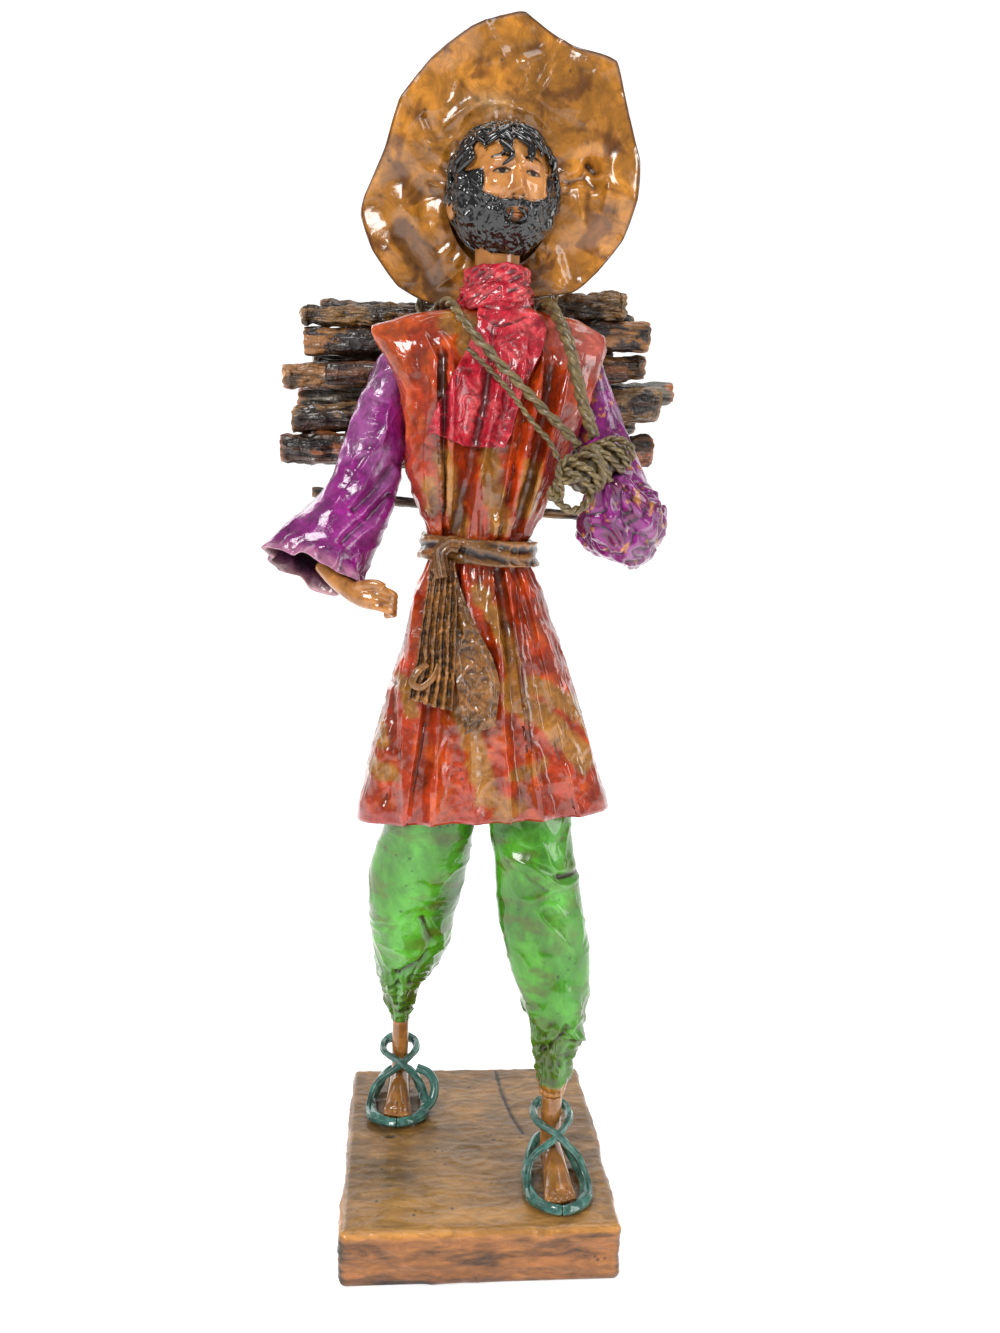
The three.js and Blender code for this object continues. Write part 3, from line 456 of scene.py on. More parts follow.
def paper_wrinkles():
    """Creases and pimples of paper pasted down and varnished, as a height."""
    tree, given, out = new_group("Paper wrinkles", [
        ("Place", VECTOR, None), ("Size", FLOAT, 120.0), ("Creases", FLOAT, 0.5), ("Pimples", FLOAT, 0.3),
    ], [("Height", FLOAT)])
    feed, place = given.outputs, given.outputs["Place"]
    bend = add_node(tree, "ShaderNodeTexNoise", Vector=place, Scale=feed["Size"], Detail=3.0)
    pushed_place = add_node(tree, "ShaderNodeVectorMath", {"operation": "MULTIPLY_ADD"})
    tree.links.new(bend.outputs["Color"], pushed_place.inputs[0])
    pushed_place.inputs[1].default_value = (0.012, 0.012, 0.012)
    tree.links.new(place, pushed_place.inputs[2])
    cells = add_node(tree, "ShaderNodeTexVoronoi", {"feature": "DISTANCE_TO_EDGE"},
                     Vector=pushed_place.outputs[0], Scale=feed["Size"])
    lines = ramped(tree, cells.outputs["Distance"], 0.0, 0.22, 1.0, 0.0)
    soft = noise(tree, place, feed["Size"], 5.0, 0.6, 0.4)
    dots = noise(tree, place, reckon(tree, "MULTIPLY", feed["Size"], 5.5), 2.0)
    height = reckon(tree, "ADD", soft, reckon(tree, "MULTIPLY", lines, feed["Creases"]))
    height = reckon(tree, "ADD", height, reckon(tree, "MULTIPLY", dots, feed["Pimples"]))
    tree.links.new(height, out.inputs["Height"])
    return tree


def brush_fibres():
    """Long wandering fibres, 0 between them and 1 on them."""
    tree, given, out = new_group("Brush fibres", [
        ("Place", VECTOR, None), ("Size", FLOAT, 90.0), ("Swirl", FLOAT, 1.5),
    ], [("Value", FLOAT)])
    feed, place = given.outputs, given.outputs["Place"]
    value = noise(tree, place, feed["Size"], 7.0, 0.68, feed["Swirl"])
    broad = noise(tree, place, reckon(tree, "MULTIPLY", feed["Size"], 0.22), 3.0, 0.5, feed["Swirl"])
    level = reckon(tree, "ADD", reckon(tree, "MULTIPLY", value, 0.6), reckon(tree, "MULTIPLY", broad, 0.4))
    tree.links.new(ramped(tree, level, 0.32, 0.68), out.inputs["Value"])
    return tree


def specks():
    """Small dark spots of varnish."""
    tree, given, out = new_group("Specks", [
        ("Place", VECTOR, None), ("Size", FLOAT, 250.0), ("Share", FLOAT, 0.2),
    ], [("Mask", FLOAT)])
    feed, place = given.outputs, given.outputs["Place"]
    dots = add_node(tree, "ShaderNodeTexVoronoi", Vector=place, Scale=feed["Size"])
    near = ramped(tree, dots.outputs["Distance"], 0.1, 0.3, 1.0, 0.0)
    which = noise(tree, place, reckon(tree, "MULTIPLY", feed["Size"], 0.4), 2.0)
    chosen = ramped(tree, reckon(tree, "ADD", which, feed["Share"]), 0.7, 0.78)
    tree.links.new(reckon(tree, "MULTIPLY", near, chosen), out.inputs["Mask"])
    return tree


SHARED = {}


def shared(name, maker):
    if name not in SHARED:
        SHARED[name] = maker()
    return SHARED[name]


def grouped(tree, name, maker, **inputs):
    """A shared node group placed in a material with its own values."""
    node = tree.nodes.new("ShaderNodeGroup")
    node.node_tree = shared(name, maker)
    for key, value in inputs.items():
        socket = node.inputs[key]
        if isinstance(value, bpy.types.NodeSocket):
            tree.links.new(value, socket)
        else:
            socket.default_value = (*value, 1.0) if len(np.shape(value)) and socket.type == "RGBA" else value
    return node.outputs


def lacquered(name, wash, stretch=(1, 1, 1), fibre=(90.0, 1.5, 0.5, 1.2), soaked=(40.0, 0.5, 1.0),
              wrinkle=(120.0, 0.5, 0.3, 0.35), rough_range=(0.16, 0.34), coat=0.6, dots=(250.0, 0.12, 0.7),
              ior=1.5, use_uv=False):
    """Painted paper under antique wash and varnish. The paint itself comes from the piece's tint layer.

    fibre is size, swirl and the darkest and lightest share of the paint; soaked is the wash's size, amount
    and pooling; wrinkle is size, creases, pimples and depth in millimetres; dots are size, share and strength.
    """
    material = bpy.data.materials.new(name)
    material.use_nodes = True
    tree = material.node_tree
    shader = tree.nodes["Principled BSDF"]
    if use_uv:
        place = add_node(tree, "ShaderNodeMapping", Vector=add_node(tree, "ShaderNodeTexCoord").outputs["UV"],
                         Scale=stretch).outputs[0]
    else:
        place = object_place(tree, stretch)
    tint = add_node(tree, "ShaderNodeAttribute", {"attribute_name": "tint"}).outputs["Color"]
    hollow = add_node(tree, "ShaderNodeAttribute", {"attribute_name": "hollow"}).outputs["Fac"]
    size, swirl, dark, light = fibre
    strands = grouped(tree, "fibres", brush_fibres, Place=place, Size=size, Swirl=swirl)["Value"]
    shade = ramped(tree, strands, 0.0, 1.0, dark, light)
    grey = add_node(tree, "ShaderNodeCombineColor", Red=shade, Green=shade, Blue=shade).outputs[0]
    base = blend_colours(tree, 1.0, tint, grey, "MULTIPLY")
    size, amount, pooling = soaked
    washed = grouped(tree, "wash", antique_wash, Color=base, Wash=wash, Hollow=hollow, Size=size,
                     Amount=amount, Pooling=pooling, Place=place)
    size, share, strength = dots
    spots = grouped(tree, "specks", specks, Place=object_place(tree), Size=size, Share=share)["Mask"]
    colour = blend_colours(tree, reckon(tree, "MULTIPLY", spots, strength), washed["Color"],
                           tuple(0.35 * c for c in wash))
    tree.links.new(colour, shader.inputs["Base Color"])
    tree.links.new(ramped(tree, washed["Mask"], 0.0, 1.0, *rough_range), shader.inputs["Roughness"])
    size, lines, pimples, depth = wrinkle
    height = grouped(tree, "wrinkles", paper_wrinkles, Place=object_place(tree), Size=size, Creases=lines,
                     Pimples=pimples)["Height"]
    height = reckon(tree, "ADD", height, reckon(tree, "MULTIPLY", strands, 0.25))
    bump = add_node(tree, "ShaderNodeBump", Height=height, Strength=1.0, Distance=0.55 * depth * MM)
    tree.links.new(bump.outputs[0], shader.inputs["Normal"])
    shader.inputs["IOR"].default_value = ior
    shader.inputs["Coat Weight"].default_value = coat
    shader.inputs["Coat Roughness"].default_value = 0.05
    return material


# ---------------------------------------------------------------- what a user would change

def colour_property(name, rgb, description):
    return FloatVectorProperty(name=name, description=description, subtype="COLOR", size=3, min=0.0, max=1.0,
                               default=paint(*rgb))


class FigurePaints(bpy.types.PropertyGroup):
    """Paints of the figure's papers and clay."""

    rust: colour_property("Tunic rust", (184, 56, 12), "Orange-red paper of the tunic")
    ochre: colour_property("Tunic ochre", (176, 116, 44), "Ochre bands printed on the tunic")
    blush: colour_property("Tunic blush", (196, 96, 84), "Pale red paper of the right shoulder")
    kerchief: colour_property("Neckerchief", (206, 30, 52), "Crimson paper of the neckerchief")
    sash: colour_property("Sash", (142, 92, 40), "Brown paper of the sash")
    sleeve: colour_property("Sleeves", (136, 24, 118), "Purple paper of the sleeves")
    lilac: colour_property("Sleeve edges", (164, 92, 152), "Worn lilac of the sleeves' edges")
    hat: colour_property("Hat", (196, 128, 42), "Golden paper of the hat")
    trousers: colour_property("Trousers", (72, 150, 24), "Green paper of the trousers")
    skin: colour_property("Skin", (206, 136, 66), "Tan paint of the face, hand and feet")
    hair: colour_property("Hair", (4, 4, 4), "Black paint of the hair and beard")
    sandal: colour_property("Sandals", (70, 128, 116), "Teal paint of the sandals")
    rope: colour_property("Rope", (112, 94, 58), "Rope round the bundle and the wrist")
    bark: colour_property("Bark", (74, 50, 34), "Brown bark of the firewood")
    wood: colour_property("Split wood", (168, 112, 62), "Pale wood where a stick is split or cut")
    base: colour_property("Base", (160, 116, 62), "Ochre paper over the block")
    wash: colour_property("Antique wash", (38, 16, 5), "Dark varnish that lies in the hollows")


class PaperFolds(bpy.types.PropertyGroup):
    """How deep the paper is folded and creased."""

    fold_depth: FloatProperty(name="Fold depth", description="Depth of the tunic's folds beside the packed solid's",
                              default=1.15, min=0.5, max=1.6, subtype="FACTOR")
    crease_depth: FloatProperty(name="Crease depth", description="Height of small creases, in millimetres",
                                default=0.55, min=0.0, max=1.5)
    hat_wave: FloatProperty(name="Hat wave", description="How far the brim waves in and out, in millimetres",
                            default=1.3, min=0.0, max=3.0)


class BundleSizes(bpy.types.PropertyGroup):
    """Sizes of the ropes and the firewood's bark."""

    twist_pitch: FloatProperty(name="Rope twist", description="Length of one turn of the rope, in millimetres",
                               default=15.0, min=5.0, max=40.0)
    bark_depth: FloatProperty(name="Bark depth", description="Depth of the bark's furrows, in millimetres",
                              default=0.8, min=0.0, max=2.0)


class StageSettings(bpy.types.PropertyGroup):
    """Floor, lights and camera."""

    focal_length: FloatProperty(name="Focal length", description="Camera lens in millimetres on a 36 mm sensor",
                                default=30.25, min=10.0, max=100.0)
    key_power: FloatProperty(name="Key light", description="Power of the large soft light in watts",
                             default=9.0, min=0.0, max=100.0)
    fill_power: FloatProperty(name="Fill light", description="Power of the soft light on the right in watts",
                              default=4.0, min=0.0, max=100.0)


def paints():
    return bpy.context.scene.figure_paints


def folds():
    return bpy.context.scene.figure_folds


def sizes():
    return bpy.context.scene.figure_sizes


def tone(name):
    """A paint as three numbers."""
    return np.array(getattr(paints(), name)[:])


def blot(first, second, share):
    """Two paints, or grids of paint, mixed by a grid of shares."""
    return mix(np.asarray(first), np.asarray(second), np.asarray(share)[..., None])


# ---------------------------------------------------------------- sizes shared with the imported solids

BASE = {"width": 120, "depth": 131, "height": 26, "corner": 3}
FLOOR = 26.3
TUNIC = [
    [190, 0, 57, 29, 2.4], [214, -1, 50.5, 27, 2.4], [240, -2, 43, 25, 2.3], [270, -2.5, 34, 21.5, 2.2],
    [290, -4, 27.5, 18.5, 2.2], [301, -4.8, 22.8, 16.2, 2.2], [308, -5.2, 20.6, 15, 2.2],
    [316, -4.6, 22.4, 15.8, 2.2], [330, -4.5, 29, 18, 2.5], [341, -4, 33, 19.5, 2.9],
    [356, -1.5, 36.5, 20.5, 3.2], [375, 0.5, 41, 20.5, 3.4], [388, -1, 46, 18, 3.2],
    [400, -3, 49, 12, 2.6], [406, -1, 34, 11, 2.2], [409, 0, 18, 9.5, 2],
]
HEM, WAIST, YOKE, NECKLINE = 190, 308, 385, 409
HEM_RISE = {"front": 3, "right": 3}
CAVITY_TOP = 235
FRONT_FOLDS = [
    [-51, -25, -42, 0.4], [-44, -23, -33, -1.2], [-36, -21, -25.5, 2.2], [-30, -20, -22.5, -1.8],
    [-24, -18.5, -19.5, 2.4], [-14, -16, -4, -3], [-5, -12, 1, 1.8], [3, -6, 5, -1], [10, 0, 10, 2.2],
    [16, 2, 13, -2], [24, 4.5, 18.5, 2.8], [31, 7, 22.5, -3], [41, 11.5, 29, 1.6], [50, 15, 38, -0.6],
]
BACK_FOLDS = [
    [50, 16, 38, -0.6], [40, 12, 29, 1.8], [30, 8, 20, -1.6], [20, 4, 12, 2], [10, 0, 5, -1.8], [0, -4.5, -2, 2],
    [-10, -9, -9, -1.8], [-20, -13, -16, 2], [-30, -17, -24, -1.6], [-40, -21, -32, 1.8], [-50, -24, -41, -0.6],
]


# ---------------------------------------------------------------- tunic

def fold_x(fold, z):
    """X of a fold line at heights: straight from hem to waist to yoke, then drawn in to the neckline."""
    at_hem, at_waist, at_yoke = fold[:3]
    skirt = mix(at_hem, at_waist, np.clip((z - HEM) / (WAIST - HEM), 0, 1))
    chest = mix(at_waist, at_yoke, np.clip((z - WAIST) / (YOKE - WAIST), 0, 1))
    middle, half = table_at(TUNIC, z)[:2]
    yoke_middle, yoke_half = table_at(TUNIC, YOKE)[:2]
    drawn_in = middle + (at_yoke - yoke_middle) * half / yoke_half
    return np.where(z <= WAIST, skirt, np.where(z <= YOKE, chest, drawn_in))


def fold_strength(z):
    return (1 - 0.55 * bell(z - WAIST, 14)) * (1 - smooth(YOKE - 12, NECKLINE - 4, z))


def fold_height(x, z, lines, middle, half):
    """Height of the folds at points: sharp on the ridges and round in the valleys."""
    stops = [(middle - half, 0), *((fold_x(fold, z), fold[3]) for fold in lines), (middle + half, 0)]
    height = np.zeros(np.broadcast(x, z).shape)
    for (low_x, low), (high_x, high) in zip(stops[:-1], stops[1:]):
        t = np.clip((x - low_x) / np.maximum(high_x - low_x, 1e-6), 0, 1)
        climb = t ** 1.8 if high > low else 1 - (1 - t) ** 1.8
        height = np.where((x >= low_x) & (x < high_x), mix(low, high, climb), height)
    return height


def tunic_front(x, z):
    """Y of the tunic's front at points, its folds included."""
    middle, half, depth, square = table_at(TUNIC, z)
    share = np.clip(np.abs(x - middle) / half, 0, 1)
    y = -depth * (1 - share ** square) ** (1 / square)
    height = fold_height(x, z, FRONT_FOLDS, middle, half) * folds().fold_depth * smooth(0, 0.25, 1 - share)
    return y - height * fold_strength(z)


# Glossy ridge lines and dark valleys of the tunic's front as (x, z) points, with height and width.
TUNIC_RIDGES = [
    ([(-25, 396), (-26.3, 373), (-29.2, 356), (-29.7, 342), (-25, 315)], 1.3, 1.5),
    ([(-25, 396), (-20.1, 392), (-18.9, 373), (-18.7, 347), (-18.8, 325), (-19.1, 313)], 1.5, 1.5),
    ([(-5.5, 345), (-14.1, 325), (-16.2, 314)], 1.0, 1.4),
    ([(-3.9, 348), (-0.8, 331), (0.9, 316)], 1.0, 1.4),
    ([(12.5, 374), (8.2, 358), (4.2, 337), (3.2, 316)], 1.5, 1.4),
    ([(18.4, 387), (14.9, 367), (11.5, 345), (8.3, 325), (6.2, 314)], 1.6, 1.4),
    ([(30, 392), (27, 372), (20, 345), (12, 318)], 1.0, 2.0),
    ([(-29, 302), (-36, 244), (-35.2, 197)], 1.8, 2.0),
    ([(-12.5, 301), (0, 278), (4.3, 264), (-1, 212)], 1.2, 2.2),
    ([(5.5, 302), (11.7, 290), (14.4, 270), (19.6, 245), (24.5, 224)], 1.8, 1.5),
    ([(11.5, 301), (18.7, 288), (31.4, 255), (42, 231), (51.2, 204)], 1.2, 1.6),
    ([(7, 300), (16, 275), (24, 250), (29, 232)], 1.0, 1.3),
    ([(-8, 301), (-6, 285), (-1, 268)], 0.9, 1.6),
    ([(-20, 222), (-24, 205), (-23, 192)], 0.9, 2.4),
    ([(8, 214), (18, 208), (34, 210), (44, 205)], 1.0, 2.2),
]
TUNIC_VALLEYS = [
    ([(-2.5, 392), (-6.2, 368), (-10.1, 348), (-13.1, 331), (-17.4, 313)], 2.4, 3.0),
    ([(-23, 388), (-23.5, 370), (-25, 352), (-23, 325)], 2.2, 2.2),
    ([(-34, 388), (-33.5, 365), (-30, 335)], 1.6, 3.0),
    ([(21.6, 384), (20, 366), (15, 340), (10, 318)], 2.6, 2.6),
    ([(8, 370), (4, 350), (1, 325)], 1.4, 2.0),
    ([(1.9, 300), (7, 278), (13.3, 258), (19.1, 227)], 2.2, 2.4),
    ([(-41, 250), (-41, 222), (-44, 200)], 1.6, 1.8),
    ([(10, 300), (20, 268), (27, 240), (33, 220)], 1.2, 2.0),
]
OCHRE_PATCHES = [
    ([(-20, 402), (-10, 399), (-12, 392)], 5.0), ([(-22, 347), (-18, 330), (-14, 318)], 4.0),
    ([(-3, 350), (-1, 335), (2, 320)], 4.2), ([(15, 343), (14, 328)], 4.5), ([(-27, 336), (-26, 326)], 2.8),
    ([(-6, 292), (4, 278), (10, 262), (11, 246)], 3.6), ([(8, 252), (24, 250), (40, 240), (52, 228)], 4.2),
    ([(10, 246), (22, 240), (32, 230), (44, 217)], 5.0), ([(-12, 246), (-6, 226), (-1, 208)], 5.0),
    ([(-50, 236), (-46, 226)], 3.5), ([(-52, 214), (-42, 212)], 4.0), ([(-2, 204), (14, 200), (4, 194)], 3.6),
    ([(-38, 252), (-33, 240)], 3.0), ([(12, 214), (24, 218)], 3.0), ([(38, 404), (30, 398)], 2.5),
]


def tunic_grid(levels, edges, columns):
    """The tunic's skin without small creases: one row for each level and share of its width."""
    turn = np.linspace(-0.5, 0.5, columns + 1) * TURN
    side, front = np.sin(turn)[None], -np.cos(turn)[None]
    z = np.asarray(levels, float)[:, None]
    edge = np.asarray(edges, float)[:, None]
    middle, half, depth, square = table_at(TUNIC, z)
    share = np.abs(side) ** (1 / 1.15)
    x = middle + half * np.sign(side) * share
    y = np.sign(front) * depth * np.maximum(0, 1 - share ** square) ** (1 / square)
    ahead = fold_height(x, z, FRONT_FOLDS, middle, half)
    behind = fold_height(x, z, BACK_FOLDS[::-1], middle, half)
    height = np.where(front < 0, ahead, behind)
    y = y + np.sign(front) * height * fold_strength(z) * folds().fold_depth * smooth(0, 0.25, 1 - share)
    x, y = mix(middle, x, edge), y * edge
    lift = HEM_RISE["right"] * x / 57 - HEM_RISE["front"] * y / 29
    lifted = z + lift * (1 - smooth(HEM, HEM + 30, z)) * np.minimum(1, edge * 2)
    return np.stack([x, y, lifted + 0 * x], axis=-1)


def tunic_creases(points):
    """Height of the tunic's own ridges, valleys, gathers and crumples."""
    x, y, z = (points[..., i] for i in range(3))
    ahead = smooth(6, -4, y)
    height = np.zeros(x.shape)
    for line, tall, width in TUNIC_RIDGES:
        height += ahead * tall * ridge(x, z, line, width)
    for line, deep, width in TUNIC_VALLEYS:
        height -= ahead * deep * stroke(x, z, line, width)
    behind = smooth(-4, 6, y)
    for k in range(9):
        at = mix(-34, 34, k / 8)
        line = [(at * 1.3, 196), (at * 0.9, 250), (at * 0.5 - 4, 300), (at * 0.5 - 4, 316), (at, 372)]
        height += behind * (1.3 if k % 2 else -1.4) * stroke(x, z, line, 2.6)
    angle = np.arctan2(x + 4.5, -y)
    gather = np.sin(angle * 23 + 1.2 * np.sin(angle * 5))
    height += 0.55 * gather * (bell(z - 318, 9) + bell(z - 299, 8))
    depth = folds().crease_depth
    height += depth * 1.1 * (crumple(points, 13, 3) - 0.35) * smooth(192, 215, z)
    height += depth * 0.55 * crumple(points, 6, 11) + 0.5 * lumps(points, 11, 20)
    height += 1.0 * crumple(points, 9, 31) * bell(x + 42, 8) * bell(z - 232, 22) * ahead
    return height


def build_tunic():
    outside = np.linspace(HEM, NECKLINE - 0.2, 172)
    levels = np.concatenate([[CAVITY_TOP] * 4, np.linspace(CAVITY_TOP, HEM, 8), [HEM + 0.3] * 1, outside,
                             [NECKLINE] * 3])
    edges = np.concatenate([[0, 0.3, 0.6, 0.9], np.linspace(0.9, 0.975, 8), [0.985], np.ones(172), [0.9, 0.5, 0]])
    points = tunic_grid(levels, edges, 470)
    outer = (edges == 1)[:, None] * smooth(HEM - 1, HEM + 5, points[..., 2])
    outer = outer * smooth(NECKLINE - 1, NECKLINE - 6, points[..., 2])
    points = pushed(points, tunic_creases(points) * outer)
    x, y, z = (points[..., i] for i in range(3))
    ahead = smooth(6, -2, y)
    rust, ochre, blush = tone("rust"), tone("ochre"), tone("blush")
    tint = blot(rust * 0.72, rust * 1.12, smooth(-0.5, 0.7, rough(points, 16, 40)))
    orange = paint(214, 88, 24)
    tint = blot(tint, orange, 0.75 * smooth(0.1, 0.8, rough(points, 12, 51)))
    tint = blot(tint, orange, 0.7 * ahead * patch(points, [(-46, 392), (-44, 360)], 9, 7))
    ochred = np.zeros(x.shape)
    for seed, (line, width) in enumerate(OCHRE_PATCHES):
        ochred = np.maximum(ochred, ahead * patch(points, line, width, seed))
    behind_patches = smooth(0.22, 0.34, rough(warped(points, 8, 3, 3), 26, 77)) * smooth(-2, 6, y)
    ochred = np.maximum(ochred, behind_patches)
    tint = blot(tint, ochre, ochred)
    rosy = ahead * patch(points, [(24, 400), (38, 396), (40, 386), (30, 392)], 6, 3)
    tint = blot(tint, blush, 0.85 * rosy)
    tint = blot(tint, paint(150, 20, 24), 0.6 * smooth(HEM + 9, HEM + 2, z) * (edges == 1)[:, None])
    # painted shade: the inside of the skirt above the hem and the closing rows at the neckline are darkened nearly to
    # black
    tint = blot(tint, rust * 0.25, (edges != 1)[:, None] * smooth(HEM + 1, HEM + 12, z))
    skins = [painted(points, tint, reach=14, depth=1.7)]
    material = lacquered("Tunic paper", paint(78, 30, 9), fibre=(150.0, 1.2, 0.62, 1.22),
                         soaked=(55.0, 0.46, 0.5), wrinkle=(150.0, 0.35, 0.35, 0.3), rough_range=(0.13, 0.3),
                         coat=0.8)
    return piece("tunic_paper", skins, material, "tunic")


# ---------------------------------------------------------------- neckerchief and sash

KERCHIEF_EDGES = [
    [351.5, -28.9, 3], [357, -28.6, 5.2], [371, -22.6, 9], [399, -10.2, 19.3], [406, -9, 16], [412, -8.5, 12],
]
COLLAR = [
    [10.2, 409.8], [14.6, 409.6], [15.6, 410.4], [15.7, 413], [15.2, 416.4], [13.8, 417.4], [13.3, 417.6],
    [13.6, 420.5], [13.9, 424], [13, 425], [11, 424.6], [10.2, 424], [10.2, 409.8],
]


def collar_grid():
    """Two turns of crumpled paper round the neck, the lower one lapped over at the front."""
    profile = spline(COLLAR, np.linspace(0, len(COLLAR) - 1, 90))
    turn = np.linspace(-0.5, 0.5, 241) * TURN
    radius, z = profile[:, :1], profile[:, 1:]
    outer = smooth(11.5, 13, radius)
    crease = 0.5 * np.sin(turn * 7 + z * 0.9) + 0.35 * np.sin(turn * 13 - z * 1.7)
    flap = 0.9 * smooth(0.02, 0.10, turn) * smooth(1.1, 0.2, turn) * smooth(409, 411, z) * smooth(418, 416, z)
    corner = 1.6 * bell(turn + 0.75, 0.25) * smooth(414, 409.6, z)
    out = radius + outer * (crease * 0.7 + flap + corner)
    x = -0.6 + out * np.sin(turn)
    y = -1.6 - out * np.cos(turn) * mix(1, 0.86, smooth(10.5, 13, radius))
    tilt = outer * (0.9 * np.sin(turn * 2 + 0.8) + 1.4 * bell(turn + 0.7, 0.4) * smooth(416, 410, z) * -1)
    points = np.stack([x, y, z + tilt + 0 * x], axis=-1)
    height = 0.7 * (crumple(points, 7, 61) - 0.3) + 0.15 * crumple(points, 3.5, 65)
    return pushed(points, height * outer)


KERCHIEF_RIDGES = [
    ([(-18.6, 392), (-18.9, 372), (-18.9, 352)], 1.0, 1.0), ([(-6, 401), (-4, 392), (-5.5, 380)], 0.8, 1.2),
    ([(3, 403), (2, 385), (-1, 365), (-6, 352)], 1.2, 2.2), ([(12, 398), (9, 380), (4, 362)], 0.7, 1.5),
    ([(-24, 366), (-26, 356)], 0.5, 1.2),
]


def bib_grid():
    """The hanging front of the neckerchief, pressed into a deep valley between its two ends."""
    u, v = np.meshgrid(np.linspace(0, 1, 101), np.linspace(0, 1, 131))
    z = mix(351.5 + 5 * (1 - smooth(0, 0.6, u)), 413, v)
    left, right = table_at(KERCHIEF_EDGES, z)
    x = mix(left, right, u)
    drape = tunic_front(x, z) - 2.6
    tucked = -1.6 - 0.86 * np.sqrt(np.maximum(0, 13.4 ** 2 - (x + 0.6) ** 2))
    y = mix(drape, np.minimum(drape, tucked), smooth(404, 411, z))
    points = np.stack([x, y - 0.9, z], axis=-1)
    valley = [(-2.5, 400), (-6.2, 368), (-10.1, 350)]
    height = -1.9 * stroke(x, z, valley, 2.0)
    for line, tall, width in KERCHIEF_RIDGES:
        height = height + tall * ridge(x, z, line, width)
    height = height + 0.5 * (crumple(points, 8, 71) - 0.3) + 0.1 * crumple(points, 4, 75)
    height = height + 0.8 * lap(x, z, [(-9, 404), (1, 399), (12, 404)], 2.4)
    return pushed(points, height * (0.35 + 0.65 * smooth(0, 0.06, np.minimum(u, 1 - u))), wrap=False)


def build_neckerchief():
    crimson = tone("kerchief")
    wash = paint(84, 6, 16)
    collar, bib = collar_grid(), bib_grid()
    rosy = paint(240, 92, 96)
    skins = []
    for points, wrap in ((collar, True), (bib, False)):
        tint = blot(crimson * 0.9, rosy, 0.7 * smooth(-0.1, 0.7, rough(points, 9, 80)))
        mottled = smooth(0.1, 0.55, rough(warped(points, 5, 2, 81), 5, 82, 4))
        tint = blot(tint, paint(150, 16, 40), 0.55 * mottled)
        skins.append(painted(points, tint, reach=8, depth=0.6) if wrap else sheet(points, tint, 0.8, 8, 0.6))
    material = lacquered("Kerchief paper", wash, fibre=(260.0, 2.2, 0.66, 1.2), soaked=(120.0, 0.44, 1.3),
                         wrinkle=(260.0, 0.4, 0.3, 0.2), rough_range=(0.16, 0.32), coat=0.7)
    return piece("neckerchief_paper", skins, material, "neckerchief")


GATHERED_TAIL = [[245, -35, -16.5], [262, -31.5, -15.8], [285, -28.5, -15.5], [305, -26, -16.5]]
FOLDED_TAIL = [[235, -11, 2], [240, -12.5, 2.2], [258, -15.5, 2.5], [285, -19.5, -10], [303, -22, -16]]


def tail_grid(rows, clear, pleats, depth, slant, seed):
    """A hanging end of the sash as a grid of points."""
    u, v = np.meshgrid(np.linspace(0, 1, 91), np.linspace(0, 1, 111))
    z = mix(rows[0][0] + slant * (u - 0.5), rows[-1][0], v)
    left, right = table_at(rows, z)
    x = mix(left, right, u)
    middle, half, deep, square = table_at(TUNIC, z)
    share = np.clip(np.abs(x - middle) / half, 0, 1)
    y = -deep * (1 - share ** square) ** (1 / square) - 2.9 * fold_strength(z) - clear
    wander = u + 0.03 * np.sin(v * 9 + seed) * np.sin(u * 3.1)
    wave = np.cos(wander * TURN * pleats)
    y = y - depth * (0.5 + 0.5 * np.sign(wave) * np.abs(wave) ** 0.7) * (0.6 + 0.4 * (1 - v))
    points = np.stack([x, y, z], axis=-1)
    height = 0.6 * (crumple(points, 8, seed) - 0.3) + 0.25 * crumple(points, 3, seed + 4)
    return pushed(points, height, wrap=False)


def belt_grid():
    low, high = 303, 313.5
    belt = [[0.2, low + 0.4], [1.8, low], [3, low + 1], [3.4, 308], [3, high - 1], [1.8, high], [0.2, high - 0.4],
            [1.0, 308], [0.2, low + 0.4]]
    profile = spline(belt, np.linspace(0, len(belt) - 1, 50))
    turn = np.linspace(-0.5, 0.5, 321) * TURN
    out, z = profile[:, :1], profile[:, 1:]
    middle, half, depth, _ = table_at(TUNIC, np.where(z < WAIST, z - 1.5, z + 1.5))
    x = middle + (half + out + 1) * np.sin(turn)
    y = -(depth + out + 2.8) * np.cos(turn)
    points = np.stack([x, y, z - 1.2 * np.sin(turn)], axis=-1)
    fold = 0.5 * np.sin(z * 1.1 + 3 * np.sin(turn * 2)) * smooth(1.5, 3, out)
    return pushed(points, fold + (0.5 * crumple(points, 8, 91) + 0.3 * lumps(points, 5, 92)) * smooth(1.2, 2.6, out))


def knot_grid():
    """The knot: a twisted bundle of pleats over the belt."""
    route = routed([(-15, -21.5, 311), (-19, -22.5, 311.5), (-22.5, -23, 308), (-22, -24, 303), (-21, -24.5, 298)], 40)
    return tube(route, np.linspace(4.4, 5.2, 40), 3.4, sides=72, lobes=7, groove=0.28, spin=1.2)


